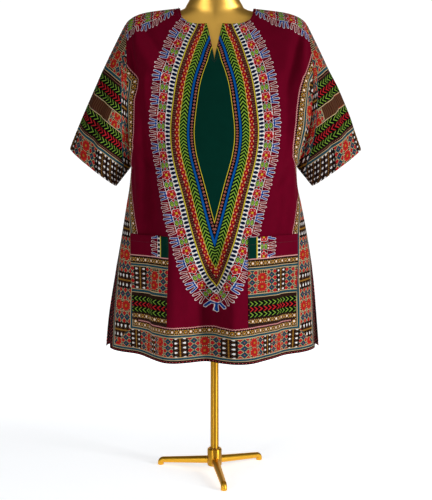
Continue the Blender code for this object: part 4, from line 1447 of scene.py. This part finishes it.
def hubProfile():
    # a sleeve with chamfered ends, and a narrow sunk ring at its top round the pole
    hub, pole, c = stand["hubRadius"], stand["poleRadius"], stand["hubChamfer"]
    low, high = stand["hubBottomZ"], stand["hubTopZ"]
    sunk = high - stand["hubSunk"]
    profile = [(hub * 0.4, low), (hub - c / 2, low), (hub - c / 5, low + c / 6), (hub, low + c / 2)]
    profile += [(hub, high - c), (hub - c * 0.12, high - c * 0.75), (hub - c * 0.75, high - c * 0.12)]
    profile += [(hub - c, high), (pole + 0.0024, high), (pole + 0.0020, high - 0.0004)]
    return profile + [(pole + 0.0018, sunk), (pole + 0.0002, sunk), (pole * 0.4, sunk)]


formPiece = tubeObject("form", formRings(), "form")
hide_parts("form_torso")
polePiece = tubeObject("stand_pole", latheRings(poleProfile(), 64), "turned")
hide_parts("pole")
hubPiece = tubeObject("stand_hub", latheRings(hubProfile(), 96), "turned")
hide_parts("hub")
for name in stand["legTurn"]:
    legPiece = tubeObject("stand_" + name, legRings(name), "bar")
    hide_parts(name)
print("form and stand: done")


def discObject(name, radius, material):
    c, s = circle(96)
    rings = [np.stack([radius * share * c, radius * share * s, 0 * c], 1) for share in (0.05, 0.3, 1.0)]
    number = np.arange(3 * len(c)).reshape(3, -1)
    quads = cells(np.hstack([number, number[:, :1]]), flip=True)
    mesh = bpy.data.meshes.new(name)
    mesh.from_pydata(np.concatenate(rings).tolist(), [], [*quads.tolist(), number[0].tolist()])
    mesh.materials.append(material)
    return addItem(name, mesh)


studio = {
    "cameraAt": (0.004, -3.1, 1.02),
    "cameraDown": 7.41,
    "lens": 83.3,
    "sensor": 36.0,
    "floorRadius": 1.8,
    "lamps": (
        # name, place, aimed at, width, height, watts
        ("softRight", (3.0, -1.85, 1.10), (0, 0, 0.78), 0.7, 2.3, 98.0),
        ("softLeft", (-1.9, -2.7, 0.95), (0, 0, 0.75), 0.5, 1.8, 29.0),
        ("softTop", (0.0, -1.9, 3.0), (0, 0, 0.6), 3.0, 1.6, 8.5),
    ),
    "sky": (0.78, 0.92, 0.108, 1.06),  # how far back it brightens, and from what to what
    "paperGlow": ((-1.00, -0.30, 0.02, 0.64), (0.00, 1.60, 0.00, 0.55)),  # from y, to y, from, to
    "paperTone": (-1.10, -0.35, 0.80, 0.90),
    "paperTint": (0.95, 0.975, 1.01),  # a cool paper, so that the shadows and the gilt's glow stay grey
}

# towards the front the paper darkens, and towards the back it glows, so that it stays even where the
# lamps fall off: two eased steps of Y for its light, one for its tone
matt = {"Roughness": 0.9, "Specular IOR Level": 0.0, "Emission Color": (0.97, 0.985, 1)}
paper = newMaterial("floor_paper", matt)
tree = paper.node_tree
y = axes(addNode(tree, "TexCoord", {}, "Object"))[1]
one, two = (easedStep(y, *stops) for stops in studio["paperGlow"])
tone = {0: studio["paperTint"], "Scale": easedStep(y, *studio["paperTone"])}
toned = addNode(tree, "VectorMath", tone, operation="SCALE")
setInputs(tree, "Principled BSDF", {"Emission Strength": one + two, "Base Color": toned})
discObject("floor", studio["floorRadius"], paper)

# sky strength: one value all round, eased up to another behind the form
scene = bpy.context.scene
scene.view_settings.view_transform = "Standard"
scene.world = bpy.data.worlds.new("studio")
scene.world.use_nodes = True
tree = scene.world.node_tree
y = axes(addNode(tree, "TexCoord", {}, "Generated"))[1]
setInputs(tree, "Background", {"Color": (1.0, 1.0, 1.0), "Strength": easedStep(y, *studio["sky"])})

for name, place, target, width, height, watts in studio["lamps"]:
    lamp = bpy.data.lights.new(name, "AREA")
    lamp.shape, lamp.size, lamp.size_y, lamp.energy = "RECTANGLE", width, height, watts
    item = addItem(name, lamp)
    item.location = place
    way = np.array(target, float) - np.array(place, float)
    pitch = math.atan2(math.hypot(way[0], way[1]), -way[2])
    item.rotation_euler = (pitch, 0, math.atan2(-way[0], way[1]))

lens = bpy.data.cameras.new("camera")
lens.lens, lens.sensor_width, lens.clip_end = studio["lens"], studio["sensor"], 60.0
camera = addItem("camera", lens)
camera.location = np.array(studio["cameraAt"]) + poleAt
camera.rotation_euler = (math.radians(90 - studio["cameraDown"]), 0, 0)
scene.camera = camera
print("floor, lamps and camera: done")

print("done")
